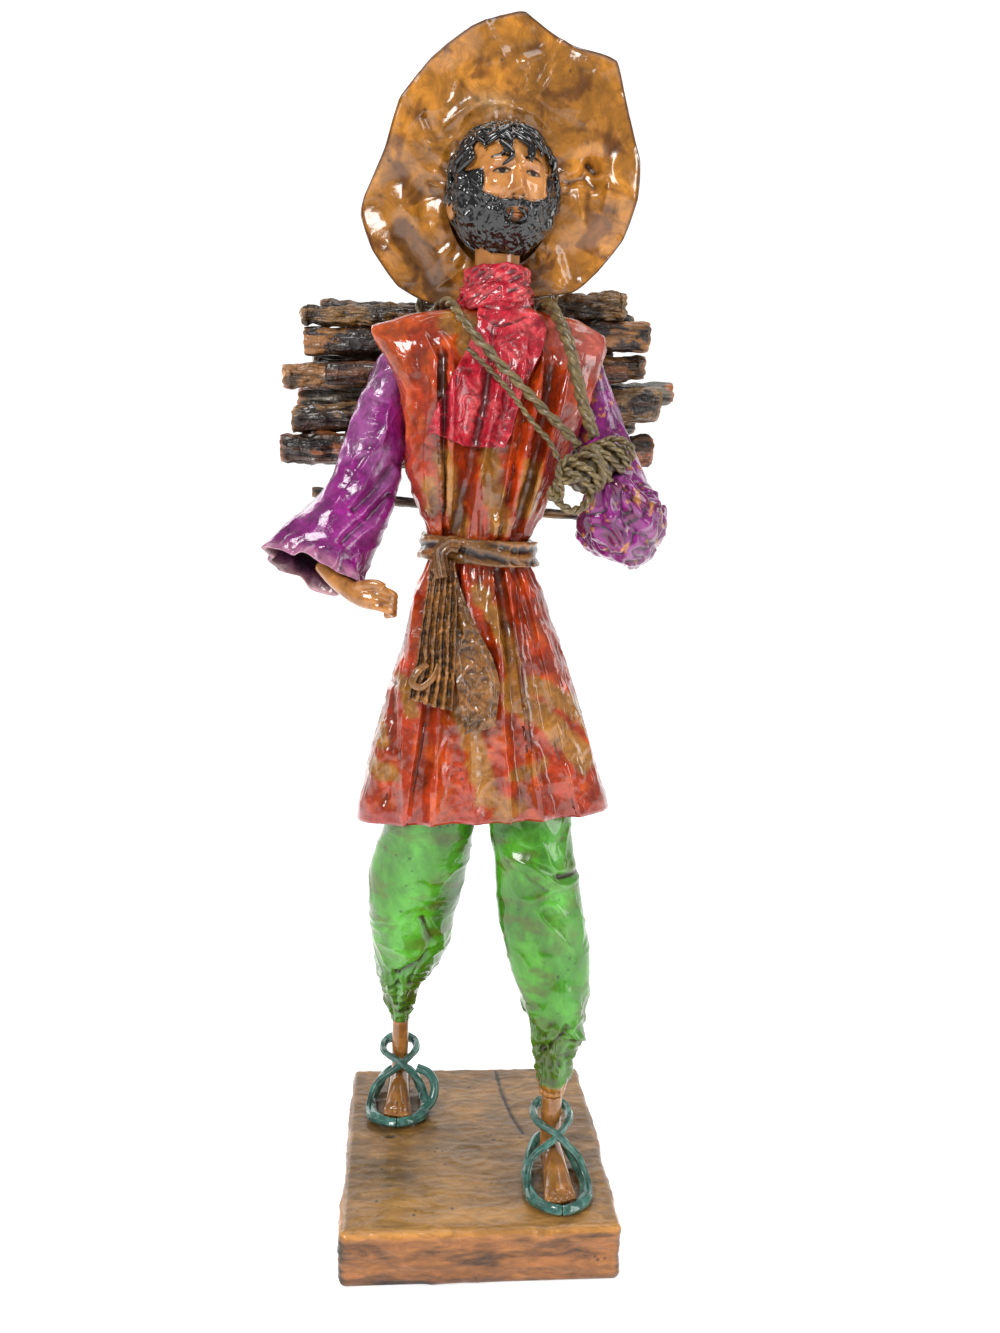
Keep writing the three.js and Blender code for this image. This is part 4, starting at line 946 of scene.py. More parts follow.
def build_sash():
    brown = tone("sash")
    grids = [
        (belt_grid(), True), (knot_grid(), True),
        (tail_grid(GATHERED_TAIL, 5.2, 5, 2.6, -4.0, 3), False),
        (tail_grid(FOLDED_TAIL, 3.9, 1.5, 1.6, 3.0, 8), False),
    ]
    skins = []
    for number, (points, wrap) in enumerate(grids):
        tint = blot(brown * 0.8, brown * 1.35, smooth(-0.3, 0.6, rough(points, 10, 100 + number)))
        skins.append(painted(points, tint, reach=6, depth=0.6) if wrap else sheet(points, tint, 0.8, 6, 0.6))
    loop = routed([(-27, -27.5, 262), (-31, -29, 259), (-33, -29.5, 254), (-29, -30, 252.5), (-24, -29.5, 257),
                   (-22, -28.5, 262)], 40)
    loop_grid = tube(loop, 1.5, 0.6, sides=14)
    skins.append(painted(loop_grid, brown * 1.1 + 0 * loop_grid, reach=3))
    material = lacquered("Sash paper", paint(34, 16, 5), fibre=(180.0, 1.4, 0.55, 1.25), soaked=(90.0, 0.5, 1.2),
                         wrinkle=(220.0, 0.5, 0.3, 0.25), rough_range=(0.2, 0.36), coat=0.55)
    return piece("sash_paper", skins, material, "sash")


# ---------------------------------------------------------------- sleeves and hand

LEFT_SLEEVE = [
    [-40, 3, 391, 7, 8], [-48, 4, 367, 10, 10], [-51.5, 5, 348, 13, 11.5], [-57, 4, 330, 14.5, 12.5],
    [-66, 1, 314, 18, 14], [-72.5, -4, 304, 20.5, 13.5], [-75.5, -9, 297, 21.5, 12.5],
]
RIGHT_SLEEVE = [
    [38, 3, 391, 7, 8], [44, 3, 372, 8.5, 9.5], [49, 3, 353, 11.5, 11.5], [54, 0, 337, 13.5, 14],
    [56.5, -9, 325, 16, 15.5], [54.5, -20, 320, 17.5, 15.5], [50, -30, 325, 15.5, 13],
    [46, -36.5, 334, 10, 9], [43.5, -39.5, 341, 5.5, 5.5],
]
LEFT_HAND = [
    [-72, -5, 300.5, 4.4], [-66, -10.5, 294.5, 4.8], [-58, -15, 290.5, 6], [-51, -18, 288, 7.4],
    [-45, -20.5, 286.5, 6.9], [-42, -21.5, 285.5, 4],
]


def limb(sections, rises, columns, swell, shrink=1.0):
    """A skin round sections of [x, y, z, half width, half depth]; swell(turn, rise) adds to its radius."""
    rises = np.asarray(rises, float)
    values = spline(sections, rises)
    even = np.linspace(0, len(sections) - 1, 200)
    _, across, front = (np.stack([np.interp(rises, even, axis[:, i]) for i in range(3)], axis=-1)
                        for axis in paths_of(spline(sections, even)[:, :3]))
    turn = np.linspace(-0.5, 0.5, columns + 1)[None]
    more = swell(turn, rises[:, None])
    shrink = np.broadcast_to(shrink, rises.shape)[:, None]
    wide, deep = shrink * (values[:, 3:4] + more), shrink * (values[:, 4:5] + more)
    side, ahead = wide * np.sin(turn * TURN), deep * np.cos(turn * TURN)
    return values[:, None, :3] + side[..., None] * across[:, None] + ahead[..., None] * front[:, None]


SLEEVE_FOLDS = [
    ([(-40, 368), (-48, 354), (-58, 338), (-67, 326)], 1.8, 2.6), ([(-46, 352), (-54, 336), (-62, 322)], 1.3, 2.4),
    ([(-43, 336), (-53, 326), (-64, 316)], 1.2, 2.2), ([(-60, 362), (-66, 346), (-74, 328)], 1.0, 2.4),
    ([(-44, 322), (-56, 314), (-66, 306)], 1.0, 2.0),
]
SLEEVE_HOLLOWS = [
    ([(-42, 344), (-50, 332), (-58, 324)], 2.0, 2.6), ([(-44, 330), (-54, 319), (-63, 311)], 1.8, 2.2),
    ([(-52, 350), (-62, 333)], 1.2, 2.4),
]


def build_left_sleeve():
    rim = len(LEFT_SLEEVE) - 1
    rises = np.concatenate([[0, 0], np.linspace(0.02, rim, 190), np.linspace(rim, rim - 1.4, 34), [rim - 1.5]])
    shrink = np.concatenate([[0.01, 0.6], np.ones(190), np.linspace(0.955, 0.7, 34), [0.01]])

    def swell(turn, rise):
        ruffle = 2.0 * np.sin(turn * TURN * 6) + 1.0 * np.sin(turn * TURN * 11 + 1)
        cuff = smooth(rim - 0.9, rim, rise)
        gather = 0.7 * np.sin(turn * TURN * 9 + 2 * np.sin(rise * 2)) * bell(rise - rim + 0.75, 0.35)
        return ruffle * cuff + gather + 0.8 * np.sin(turn * TURN * 3 + rise) * smooth(1, 2, rise)

    points = limb(LEFT_SLEEVE, rises, 300, swell, shrink)
    x, z = points[..., 0], points[..., 2]
    outer = (np.arange(len(rises)) < 192)[:, None] * smooth(0, 0.3, rises)[:, None]
    ahead = smooth(4, -4, points[..., 1] - points.mean(axis=1, keepdims=True)[..., 1])
    height = np.zeros(x.shape)
    for line, tall, width in SLEEVE_FOLDS:
        height += tall * ridge(x, z, line, width) * ahead
    for line, deep, width in SLEEVE_HOLLOWS:
        height -= deep * stroke(x, z, line, width) * ahead
    height += 0.7 * (crumple(points, 17, 111) - 0.3) + 0.15 * crumple(points, 7, 115)
    points = pushed(points, height * outer)
    purple, lilac = tone("sleeve"), tone("lilac")
    tint = blot(purple * 0.75, purple * 1.3, smooth(-0.4, 0.6, rough(points, 14, 120)))
    edge = smooth(-0.15, 0.5, (rises[:, None] / rim) * 0 + rough(points, 20, 121) + 0.5 * smooth(-58, -74, x - (z - 330) * 0.45))
    tint = blot(tint, lilac, 0.6 * edge * ahead * smooth(rim - 0.4, 1.5, rises)[:, None])
    cuff = (smooth(rim - 0.75, rim - 0.2, rises)[:, None] * outer) + 0 * x
    tint = blot(tint, paint(186, 120, 150), 0.8 * cuff)
    lining = (np.arange(len(rises)) >= 192)[:, None] + 0 * x
    # painted shade: the lining grows dark deep inside the sleeve's opening
    inside_shade = smooth(rim - 0.1, rim - 0.9, rises)[:, None]
    tint = blot(tint, paint(190, 150, 150), 0.85 * lining * (1 - inside_shade))
    tint = blot(tint, paint(30, 14, 22), lining * inside_shade)
    skins = [painted(points, tint, reach=10, depth=0.9)]
    return piece("left_sleeve_paper", skins, sleeve_finish(), "left_sleeve")


def sleeve_finish():
    if "Sleeve paper" in bpy.data.materials:
        return bpy.data.materials["Sleeve paper"]
    return lacquered("Sleeve paper", paint(40, 4, 34), fibre=(150.0, 1.8, 0.6, 1.2), soaked=(70.0, 0.44, 1.3),
                     wrinkle=(200.0, 0.4, 0.3, 0.25), rough_range=(0.17, 0.34), coat=0.6)


def build_right_sleeve():
    last = len(RIGHT_SLEEVE) - 1
    rises = np.concatenate([[0, 0], np.linspace(0.02, last, 210), [last]])
    shrink = np.concatenate([[0.01, 0.6], np.ones(210), [0.01]])

    def swell(turn, rise):
        pleats = np.sin(turn * TURN * 8 + 1.5 * np.sin(rise)) * smooth(4.6, 6.6, rise)
        bag = 1.3 * np.sin(turn * TURN * 4 + rise * 1.3) * smooth(2.5, 4, rise) * (1 - smooth(6.5, 7.5, rise))
        return 1.5 * pleats * (1 - 0.55 * smooth(7, 8, rise)) + bag

    points = limb(RIGHT_SLEEVE, rises, 300, swell, shrink)
    outer = smooth(0, 0.3, rises)[:, None] * smooth(last, last - 0.5, rises)[:, None]
    bagged = smooth(2.5, 4, rises)[:, None]
    height = mix(0.5, 1.3, bagged) * (crumple(points, 14, 131) - 0.3) + 0.2 * crumple(points, 6, 135)
    height = height - 1.2 * bagged * (crumple(points, 10, 139) - 0.3)
    points = pushed(points, height * outer)
    purple, lilac = tone("sleeve"), tone("lilac")
    tint = blot(purple * 0.75, purple * 1.25, smooth(-0.4, 0.6, rough(points, 12, 140)))
    tint = blot(tint, lilac, 0.55 * smooth(0.15, 0.6, rough(points, 14, 141)))
    tint = blot(tint, paint(110, 10, 60), 0.7 * bagged * smooth(0.15, 0.5, rough(points, 9, 142)))
    tint = blot(tint, paint(200, 130, 40), 0.8 * smooth(0.5, 0.62, rough(points, 5, 143)))
    skins = [painted(points, tint, reach=10, depth=0.9)]
    return piece("right_sleeve_paper", skins, sleeve_finish(), "right_sleeve")


def melted(name, skins, voxel, passes):
    """Skins run together into one lump of clay and smoothed, as a mesh."""
    bm = bmesh.new()
    for part in skins:
        bm.from_mesh(part)
        bpy.data.meshes.remove(part)
    bmesh.ops.remove_doubles(bm, verts=bm.verts, dist=2e-6)
    bmesh.ops.recalc_face_normals(bm, faces=bm.faces)
    mesh = bpy.data.meshes.new(name)
    bm.to_mesh(mesh)
    bm.free()
    lump = bpy.data.objects.new(name, mesh)
    bpy.context.scene.collection.objects.link(lump)
    remesh = lump.modifiers.new("Melt", "REMESH")
    remesh.mode = "VOXEL"
    remesh.voxel_size = voxel * MM
    soften = lump.modifiers.new("Soften", "SMOOTH")
    soften.iterations = passes
    depsgraph = bpy.context.evaluated_depsgraph_get()
    result = bpy.data.meshes.new_from_object(lump.evaluated_get(depsgraph))
    bpy.data.objects.remove(lump)
    bpy.data.meshes.remove(mesh)
    return result


def coloured(mesh, chooser):
    """Gives a melted mesh its tint and hollow layers from a function of its points."""
    points = np.empty(len(mesh.vertices) * 3, np.float32)
    mesh.vertices.foreach_get("co", points)
    points = points.reshape(-1, 3) / MM
    tint, hollow = chooser(points)
    colours = np.column_stack([np.broadcast_to(tint, points.shape), np.ones(len(points))]).astype(np.float32)
    mesh.attributes.new("tint", "FLOAT_COLOR", "POINT").data.foreach_set("color", colours.ravel())
    depth = np.broadcast_to(hollow, (len(points),)).astype(np.float32)
    mesh.attributes.new("hollow", "FLOAT", "POINT").data.foreach_set("value", depth)
    return mesh


def skin_finish():
    if "Painted skin" in bpy.data.materials:
        return bpy.data.materials["Painted skin"]
    return lacquered("Painted skin", paint(92, 42, 14), fibre=(120.0, 0.8, 0.84, 1.1), soaked=(90.0, 0.36, 0.9),
                     wrinkle=(200.0, 0.15, 0.15, 0.12), rough_range=(0.17, 0.3), coat=0.7, dots=(300.0, 0.06, 0.6))


def clay(route, wide, high=None, sides=16):
    return skin(tube(route, wide, high, sides))


def build_left_hand():
    palm = routed([(-72, -5, 300.5), (-66, -10.5, 295), (-59, -15, 290.5), (-52.5, -18, 288.4), (-49, -19, 287.8)], 24)
    skins = [clay(palm, np.interp(np.linspace(0, 1, 24), [0, 0.4, 0.7, 1], [4, 4.2, 5.4, 5.2]),
                  np.interp(np.linspace(0, 1, 24), [0, 0.4, 0.7, 1], [4, 4, 4.6, 4.8]))]
    for k in range(4):
        drop = 2.4 * k
        finger = routed([(-53 + k * 0.4, -19.5 - 0.4 * k, 292.4 - drop), (-47.5, -22 - 0.4 * k, 292 - drop),
                         (-42.6, -21.6, 290.2 - drop), (-41.6, -18.6, 288.6 - drop), (-45, -16.5, 288 - drop)], 18)
        skins.append(clay(finger, 2.0 - 0.1 * k))
    thumb = routed([(-58, -17.5, 292.5), (-53, -21.5, 294), (-48.5, -23, 294.2), (-45.5, -23.5, 292.8)], 16)
    skins.append(clay(thumb, 2.1))

    def brown(points):
        tan = tone("skin") * 0.8
        tint = blot(tan * 0.75, tan * 1.1, smooth(-0.5, 0.6, rough(points, 5, 150)))
        return tint, 0.5 + 0.3 * lumps(points, 3, 151)

    mesh = coloured(melted("hand", skins, 0.45, 3), brown)
    return piece("left_hand_clay", [mesh], skin_finish(), "left_hand", turn_out=False)


# ---------------------------------------------------------------- base, legs, feet and sandals

def build_base():
    """The block under its pasted paper: a cube cut fine, its edges rounded and its faces left uneven."""
    half = np.array([BASE["width"], BASE["depth"], BASE["height"]]) / 2
    bm = bmesh.new()
    bmesh.ops.create_cube(bm, size=1.0)
    for axis, cuts in ((0, 136), (1, 146), (2, 26)):
        along = [edge for edge in bm.edges
                 if abs(edge.verts[0].co[axis] - edge.verts[1].co[axis]) > 0.9]
        bmesh.ops.subdivide_edges(bm, edges=along, cuts=cuts, use_grid_fill=True)
    mesh = bpy.data.meshes.new("block")
    bm.to_mesh(mesh)
    bm.free()
    points = np.empty(len(mesh.vertices) * 3, np.float32)
    mesh.vertices.foreach_get("co", points)
    points = points.reshape(-1, 3) * 2 * half
    inner = np.clip(points, BASE["corner"] - half, half - BASE["corner"])
    out = points - inner
    away = out / np.maximum(np.linalg.norm(out, axis=1, keepdims=True), 1e-9)
    points = inner + BASE["corner"] * away + [0, 0, half[2]]
    x, y, z = points.T
    top = smooth(BASE["height"] - 4, BASE["height"] - 0.5, z) * smooth(0.6, 0.9, away[:, 2])
    side = 1 - smooth(0.3, 0.9, np.abs(away[:, 2]))
    height = 0.9 * side * rough(points, 30, 160) + 0.35 * side * lumps(points, 7, 161)
    height += top * (0.28 * rough(points, 20, 162) + 0.3 * crumple(points * [0.5, 1.6, 1], 9, 163))
    height += side * 0.5 * crumple(points * [0.4, 0.4, 1.4], 8, 164)
    crack = line_distance(x, y, [(15.3, 64), (17, 40), (20, 20), (24.4, 4.5)])[0]
    height -= top * 0.7 * bell(crack, 0.8)
    pit = np.hypot(x + 39.3, (y - 3.3) * 1.6)
    height += top * (0.8 * bell(pit - 3.2, 1.3) - 1.3 * bell(pit, 2.2))
    ring = np.hypot((x + 3) * 0.9, y + 12)
    height += top * 0.3 * (bell(ring - 8, 1.2) + bell(ring - 3, 1.0))
    height *= smooth(0, 2, z)
    points = points + away * height[:, None]
    mesh.vertices.foreach_set("co", (points * MM).astype(np.float32).ravel())
    ochre = tone("base")
    streak = rough(points * [0.25, 1.3, 2.0], 7, 170)
    tint = blot(ochre * 0.78, ochre * 1.2, smooth(-0.6, 0.6, streak))
    tint = blot(tint, paint(176, 96, 24), 0.6 * side)
    tint = blot(tint, paint(120, 96, 66), 0.45 * top * smooth(0, 0.6, rough(points, 26, 171)))
    # painted highlight: a pale band along the rounded top edge of the front only, with less wash laid there
    front_edge_highlight = bell(z - BASE["height"] + 1.4, 1.5) * smooth(-40, -58, y)
    tint = blot(tint, paint(226, 160, 84), 0.7 * front_edge_highlight)
    dark = 0.5 + 0.35 * bell(crack, 1.1) * top + 0.4 * bell(pit, 2.2) * top - 0.25 * front_edge_highlight
    dark = dark + 0.18 * side * smooth(-0.1, 0.6, rough(points * [0.3, 0.3, 1.6], 8, 172))
    dark = dark + 0.25 * bell(z, 2.5) + 0.3 * bell(np.abs(x) - 60, 1.6) * bell(np.abs(y) - 65.5, 2.5)
    layers = coloured(mesh, lambda _: (tint, np.clip(dark, 0, 1)))
    material = lacquered("Base paper", paint(40, 22, 8), stretch=(0.45, 1.0, 1.6), fibre=(150.0, 1.6, 0.62, 1.16),
                         soaked=(60.0, 0.42, 1.0), wrinkle=(170.0, 0.35, 0.4, 0.28), rough_range=(0.3, 0.5),
                         coat=0.3)
    return piece("base_paper", [layers], material, "base")


LEFT_LEG = [
    [68, -35.8, 41, 4.6, 4.6], [72, -35.8, 40, 5, 5], [78, -35.9, 38, 6.2, 6], [88, -35.5, 34, 8.5, 8],
    [97, -34, 32, 13, 11], [104, -32.8, 30, 16, 13.5], [119, -31, 24, 19.5, 15.5], [138, -30.3, 18, 20.4, 16.5],
    [158, -28.5, 12, 21.2, 16.5], [184, -24, 5, 21, 16], [206, -21.5, 2, 19, 15], [234.7, -19, 1, 16, 13.5],
]
RIGHT_LEG = [
    [62, 34.1, -19.5, 5.6, 5.6], [68, 34.3, -19, 7, 6.5], [81, 35, -18, 9, 8], [92, 36.3, -17, 11.3, 10],
    [102, 34.5, -15, 14.7, 12.5], [119, 32, -12, 17.5, 14.5], [140, 28, -9, 18.8, 15.5],
    [165, 24.5, -6, 19.8, 15.5], [189, 20.8, -3, 18.7, 15], [208, 19.5, -1.5, 17.5, 14.5],
    [234.7, 18.5, 0, 16, 13.5],
]
LEG_MARKS = {
    "left": {
        "ridges": [([(-24, 138), (-17, 126), (-16, 114)], 1.6, 1.8), ([(-38, 103), (-35, 96), (-36, 84)], 1.4, 1.6),
                   ([(-27, 112), (-33, 101), (-34, 84)], 1.2, 1.4), ([(-45, 108), (-42, 96), (-40, 84)], 1.2, 1.8),
                   ([(-22, 117), (-28, 106), (-32, 94)], 1.3, 1.6)],
        "hollows": [([(-26, 136), (-21, 122), (-26, 112), (-37, 103)], 2.0, 2.2),
                    ([(-38, 104), (-37.5, 95), (-37.6, 80)], 1.6, 1.4), ([(-29, 106), (-32, 96)], 1.2, 1.5)],
        "laps": [([(-20, 120), (-28, 114), (-36, 106), (-38, 98)], 1.3, 3.0)],
    },
    "right": {
        "ridges": [([(9.8, 175), (21, 171), (32, 163), (42, 160)], 1.9, 2.0),
                   ([(43, 150), (45, 138), (44, 128)], 1.3, 1.8), ([(22, 152), (34, 139), (44, 128)], 1.4, 1.6),
                   ([(17, 176), (28, 172), (36, 166)], 1.0, 1.4), ([(34, 89), (41, 94), (48, 88)], 1.2, 1.6),
                   ([(40, 131), (45, 120)], 0.9, 1.4)],
        "hollows": [([(33, 166), (44, 165)], 1.8, 1.6), ([(28, 84), (36, 92), (38, 98)], 1.8, 1.6),
                    ([(46, 84), (44, 74)], 1.2, 1.4), ([(28, 92), (30, 84), (32, 78)], 1.2, 1.4)],
        "laps": [([(46, 90), (38, 97), (28, 88)], 1.4, 3.0), ([(44, 163), (30, 161), (12, 172)], 0.9, 4.0)],
    },
}


def build_leg(side, rows, twist):
    levels = np.linspace(rows[0][0], rows[-1][0], 210)
    z = np.concatenate([[levels[0]] * 2, levels, [levels[-1]]])[:, None]
    edge = np.concatenate([[0, 0.7], np.ones(210), [0]])[:, None]
    x, y, wide, deep = table_at(rows, z)
    angle = np.linspace(-0.5, 0.5, 301)[None] * TURN
    gather = 1.5 * np.sin(angle * 5 + z / 9) * (1 - smooth(92, 122, z)) * smooth(64, 80, z)
    gather = gather + 0.5 * np.sin(angle * 13 + z / 5) * (1 - smooth(80, 104, z))
    crease = 1.1 * np.sin(angle * 2 + twist + z / 14) * smooth(100, 130, z) * (1 - smooth(170, 190, z))
    out = edge * (1 + (gather + crease) / 18)
    points = np.stack([x + out * wide * np.sin(angle), y - out * deep * np.cos(angle), z + 0 * angle], axis=-1)
    px, pz = points[..., 0], points[..., 2]
    ahead = smooth(0.1, -0.35, (points[..., 1] - y) / deep)
    marks = LEG_MARKS[side]
    height = 0.6 * (crumple(points, 16, 180) - 0.3) + 0.5 * lumps(points, 14, 181)
    height = height + 0.12 * crumple(points * [1, 1, 1.8], 6, 183)
    height = height + 1.4 * (crumple(points, 9, 186) - 0.3) * (1 - smooth(90, 118, pz))
    for line, tall, width in marks["ridges"]:
        height = height + ahead * tall * ridge(px, pz, line, width)
    for line, deep_by, width in marks["hollows"]:
        height = height - ahead * deep_by * stroke(px, pz, line, width)
    for line, tall, width in marks["laps"]:
        height = height + ahead * tall * lap(px, pz, line, width)
    points = pushed(points, height * (edge == 1) * smooth(rows[0][0], rows[0][0] + 3, pz))
    green = tone("trousers")
    tint = blot(green * 0.72, green * 1.2, smooth(-0.5, 0.6, rough(points * [1, 1, 0.6], 16, 190)))
    olive = paint(84, 104, 20)
    tint = blot(tint, olive, 0.75 * smooth(0.05, 0.6, rough(points * [0.7, 0.7, 1.6], 10, 191)))
    tint = blot(tint, paint(80, 96, 14), 0.6 * (1 - smooth(86, 108, pz)))
    # painted highlight: a pale green stripe down one side of each leg
    tint = blot(tint, paint(110, 210, 80), 0.5 * bell(np.sin(angle - 0.2) - (0.2 if side == "right" else -0.35), 0.3)
                * (1 - ahead * 0.2))
    if side == "right":
        tint = blot(tint, paint(176, 116, 44), smooth(rows[0][0] + 6.5, rows[0][0] + 4.5, pz))
    skins = [painted(points, tint, reach=10, depth=0.8)]
    return piece(f"{side}_trouser_paper", skins, trouser_finish(), f"{side}_trouser_leg")


def trouser_finish():
    if "Trouser paper" in bpy.data.materials:
        return bpy.data.materials["Trouser paper"]
    return lacquered("Trouser paper", paint(44, 44, 6), stretch=(1.0, 1.0, 0.55), fibre=(110.0, 1.2, 0.7, 1.14),
                     soaked=(60.0, 0.36, 1.2), wrinkle=(160.0, 0.25, 0.3, 0.2), rough_range=(0.22, 0.36),
                     coat=0.45, dots=(260.0, 0.16, 0.7))


LEFT_FOOT = {"ankle": (-35.6, 42), "toe": (-36.6, 14), "loop": 14.5, "top": 67.4, "shank": 4}
RIGHT_FOOT = {"ankle": (34.1, -20), "toe": (35.2, -54), "loop": 14, "top": 61.4, "shank": 4.6}
SANDAL_CORD = 2.7


def build_foot(side, foot):
    """A clay foot with an arched instep, five toes and a thin shank that goes up into the trousers."""
    (ax, ay), (tx, ty) = foot["ankle"], foot["toe"]
    sole = FLOOR + 5
    instep = routed([(ax, ay + 2, sole + 3), (mix(ax, tx, 0.35), mix(ay, ty, 0.35), sole + 2.5),
                     (mix(ax, tx, 0.7), mix(ay, ty, 0.7), sole), (tx, ty + 3.5, sole - 1.2)], 30)
    skins = [clay(instep, np.interp(np.linspace(0, 1, 30), [0, 0.4, 0.8, 1], [5.2, 5.6, 7, 6.6]),
                  np.interp(np.linspace(0, 1, 30), [0, 0.3, 0.7, 1], [7, 6.6, 4.8, 3.6]), sides=24)]
    for k, (size, reach) in enumerate([(2.5, 0), (1.9, -0.4), (1.8, 0.2), (1.7, 1.0), (1.5, 2.0)]):
        x = tx + (-5 + 2.6 * k) * (1 if side == "right" else -1)
        toe = routed([(x, ty + 6, sole - 0.4), (x, ty + 1.5 + reach, sole - 0.6), (x, ty - 0.2 + reach, sole - 1.6)], 12)
        skins.append(clay(toe, size))
    shank = routed([(ax, ay, sole + 4), (ax, ay, sole + 16), (ax, ay, foot["top"])], 20)
    skins.append(clay(shank, foot["shank"] + 0.2))

    def brown(points):
        tan = tone("skin") * 0.72
        tint = blot(tan * 0.7, tan * 1.1, smooth(-0.5, 0.6, rough(points, 6, 200)))
        grooves = bell(points[:, 1] - ty - 2.5, 3.0) * smooth(FLOOR + 2, FLOOR + 7, points[:, 2])
        shade = 0.5 + 0.25 * lumps(points, 3, 201) + 0.2 * grooves * np.cos((points[:, 0] - tx) * TURN / 2.6)
        return tint, np.clip(shade, 0, 1)

    mesh = coloured(melted("foot", skins, 0.5, 4), brown)
    return piece(f"{side}_foot_clay", [mesh], skin_finish(), f"{side}_foot", turn_out=False)


STRAP = [
    (0, 0, 0), (0.8, 0.12, 0), (0.98, 0.32, 1), (0.74, 0.5, 9), (0.06, 0.58, 18), (-0.52, 0.72, 21),
    (-0.5, 0.94, 22), (0, 1.02, 23), (0.5, 0.94, 22), (0.52, 0.72, 21), (-0.06, 0.56, 16), (-0.74, 0.5, 9),
    (-0.98, 0.32, 1), (-0.8, 0.12, 0),
]


def build_sandal(side, foot):
    """A clay cord looped round the toes, crossed over the instep and tied behind the ankle."""
    (ax, ay), (tx, ty) = foot["ankle"], foot["toe"]
    floor, front, back = FLOOR + SANDAL_CORD, ty - 4, ay + 10

    def placed(across, along, up):
        return (mix(tx, ax, along) + foot["loop"] * across, mix(front, back, along), floor + up)

    strap = routed([placed(*point) for point in STRAP], 220, closed=True)
    turn = np.linspace(0, TURN, 160, endpoint=False)
    along = (1 - np.cos(turn)) / 2
    sole = np.stack([mix(tx, ax, along) + foot["loop"] * np.sin(turn) * (1.05 - 0.3 * along),
                     mix(front, back, along), floor + 6 * smooth(0.6, 1, along)], axis=-1)
    skins = []
    for number, (route, wide, high, lobes) in enumerate([(strap, 2.5, 1.9, 6), (sole, 2.9, 2.6, 4)]):
        route = np.concatenate([route, route[:1]])
        points = tube(route, wide, high, sides=40, lobes=lobes, groove=0.24, spin=2.4, start=(0, 0, 1), closed=True)
        points = pushed(points, 0.25 * lumps(points, 4, 210 + number))
        points[-1] = points[0]
        teal = tone("sandal")
        tint = blot(teal * 0.62, teal * 1.15, smooth(-0.4, 0.6, rough(points, 6, 212 + number)))
        tint = blot(tint, paint(120, 150, 140), 0.5 * smooth(0.2, 0.7, rough(points, 3, 214)))
        skins.append(painted(points, tint, reach=3, depth=0.4))
    if side == "left":
        loop = routed([(-27, 33, 45), (-21, 31, 43), (-18, 28, 38), (-19.5, 24, 32), (-24, 20, 29.5)], 40)
        extra = tube(loop, 2.2, 1.9, sides=24)
        skins.append(painted(extra, tone("sandal") * 0.8 + 0 * extra, reach=3, depth=0.4))
    if "Sandal clay" in bpy.data.materials:
        material = bpy.data.materials["Sandal clay"]
    else:
        material = lacquered("Sandal clay", paint(20, 30, 24), fibre=(200.0, 1.0, 0.75, 1.15),
                             soaked=(110.0, 0.4, 1.2), wrinkle=(260.0, 0.2, 0.3, 0.18), rough_range=(0.16, 0.34),
                             coat=0.7)
    return piece(f"{side}_sandal_cord", skins, material, f"{side}_sandal")


# ---------------------------------------------------------------- head and hat

HEAD = {"middle": (0.5, -2, 455), "half": (20, 23, 25), "turn": 12, "neck": 9.4}
HAT = {"middle": (0.5, 9, 455), "opening": (22.5, 27.5), "crown": 33, "lean": 8, "sheet": 1.8}
BRIM = [
    (-2, 523.5), (8.5, 526), (22.5, 518), (31, 514), (46.5, 509), (52.5, 491), (58.5, 472), (58, 456),
    (54, 441), (44, 428), (33, 419), (0, 415), (-27, 412.5), (-42, 419), (-53, 433), (-58, 447),
    (-56.5, 455), (-48, 471.5), (-42, 490), (-30, 505.5), (-14, 517.5),
]


def head_turned(points):
    """Points of a head that looks straight ahead, turned and set on its neck."""
    angle = math.radians(HEAD["turn"])
    cos, sin = math.cos(angle), math.sin(angle)
    x, y, z = (points[..., i] for i in range(3))
    cx, cy, cz = HEAD["middle"]
    return np.stack([cx + cos * x - sin * y, cy + sin * x + cos * y, cz + z], axis=-1)


def skull(side, front, up):
    """The bare head and face at a direction of unit length, before it is turned."""
    wide, deep, tall = HEAD["half"]
    jaw = 1 - 0.2 * smooth(-0.1, -1, up)
    x, z = wide * side * jaw, tall * up
    facing_us = smooth(0.2, 0.7, front)
    off = np.abs(x)
    bridge = bell(x, 1.7) * smooth(9, 3, z) * smooth(-6.5, -3, z) * mix(1.2, 3.0, smooth(7, -3, z))
    tip = 2.2 * bell(x, 2.3) * bell(z + 3.2, 2.2) + 1.0 * bell(off - 2.7, 1.3) * bell(z + 4.0, 1.4)
    brow = 1.3 * bell(z - 7.6 + 0.05 * off, 1.7) * smooth(12, 9, off) * smooth(0.5, 2.5, off)
    socket = 1.9 * bell(off - 6.4, 3.0) * bell(z - 3.7, 2.2)
    ball = 1.3 * bell(off - 6.4, 2.4) * bell(z - 3.1, 1.5)
    lid = 0.45 * bell(off - 6.4, 2.6) * bell(z - 4.1 + 0.05 * (off - 6.4) ** 2, 0.45)
    cheek = 1.2 * bell(off - 9.5, 4) * bell(z + 1.8, 3.6)
    crease = 0.6 * bell(off - 5.4 - 0.25 * (-z - 4), 0.9) * smooth(-3, -5, z) * smooth(-10, -8, z)
    upper = 0.9 * bell(z + 10.6, 0.8) * bell(x, 3.6)
    lower = 1.2 * bell(z + 12.4, 0.9) * bell(x, 3.2)
    parting = 0.8 * bell(z + 11.5, 0.35) * bell(x, 3.8)
    relief = facing_us * (bridge + tip + brow - socket + ball + lid + cheek - crease + upper + lower - parting)
    return np.stack([x, -(deep * front + relief), z], axis=-1)


def hair_share(side, front, up):
    """1 where the head carries hair, 0 on the face."""
    crown = smooth(0.66, 0.72, up + 0.22 * (1 - front) - 0.05 * np.sin(side * 7))
    sides = smooth(0.5, 0.42, front) * smooth(-0.6, -0.5, up)
    return np.maximum(crown, sides)


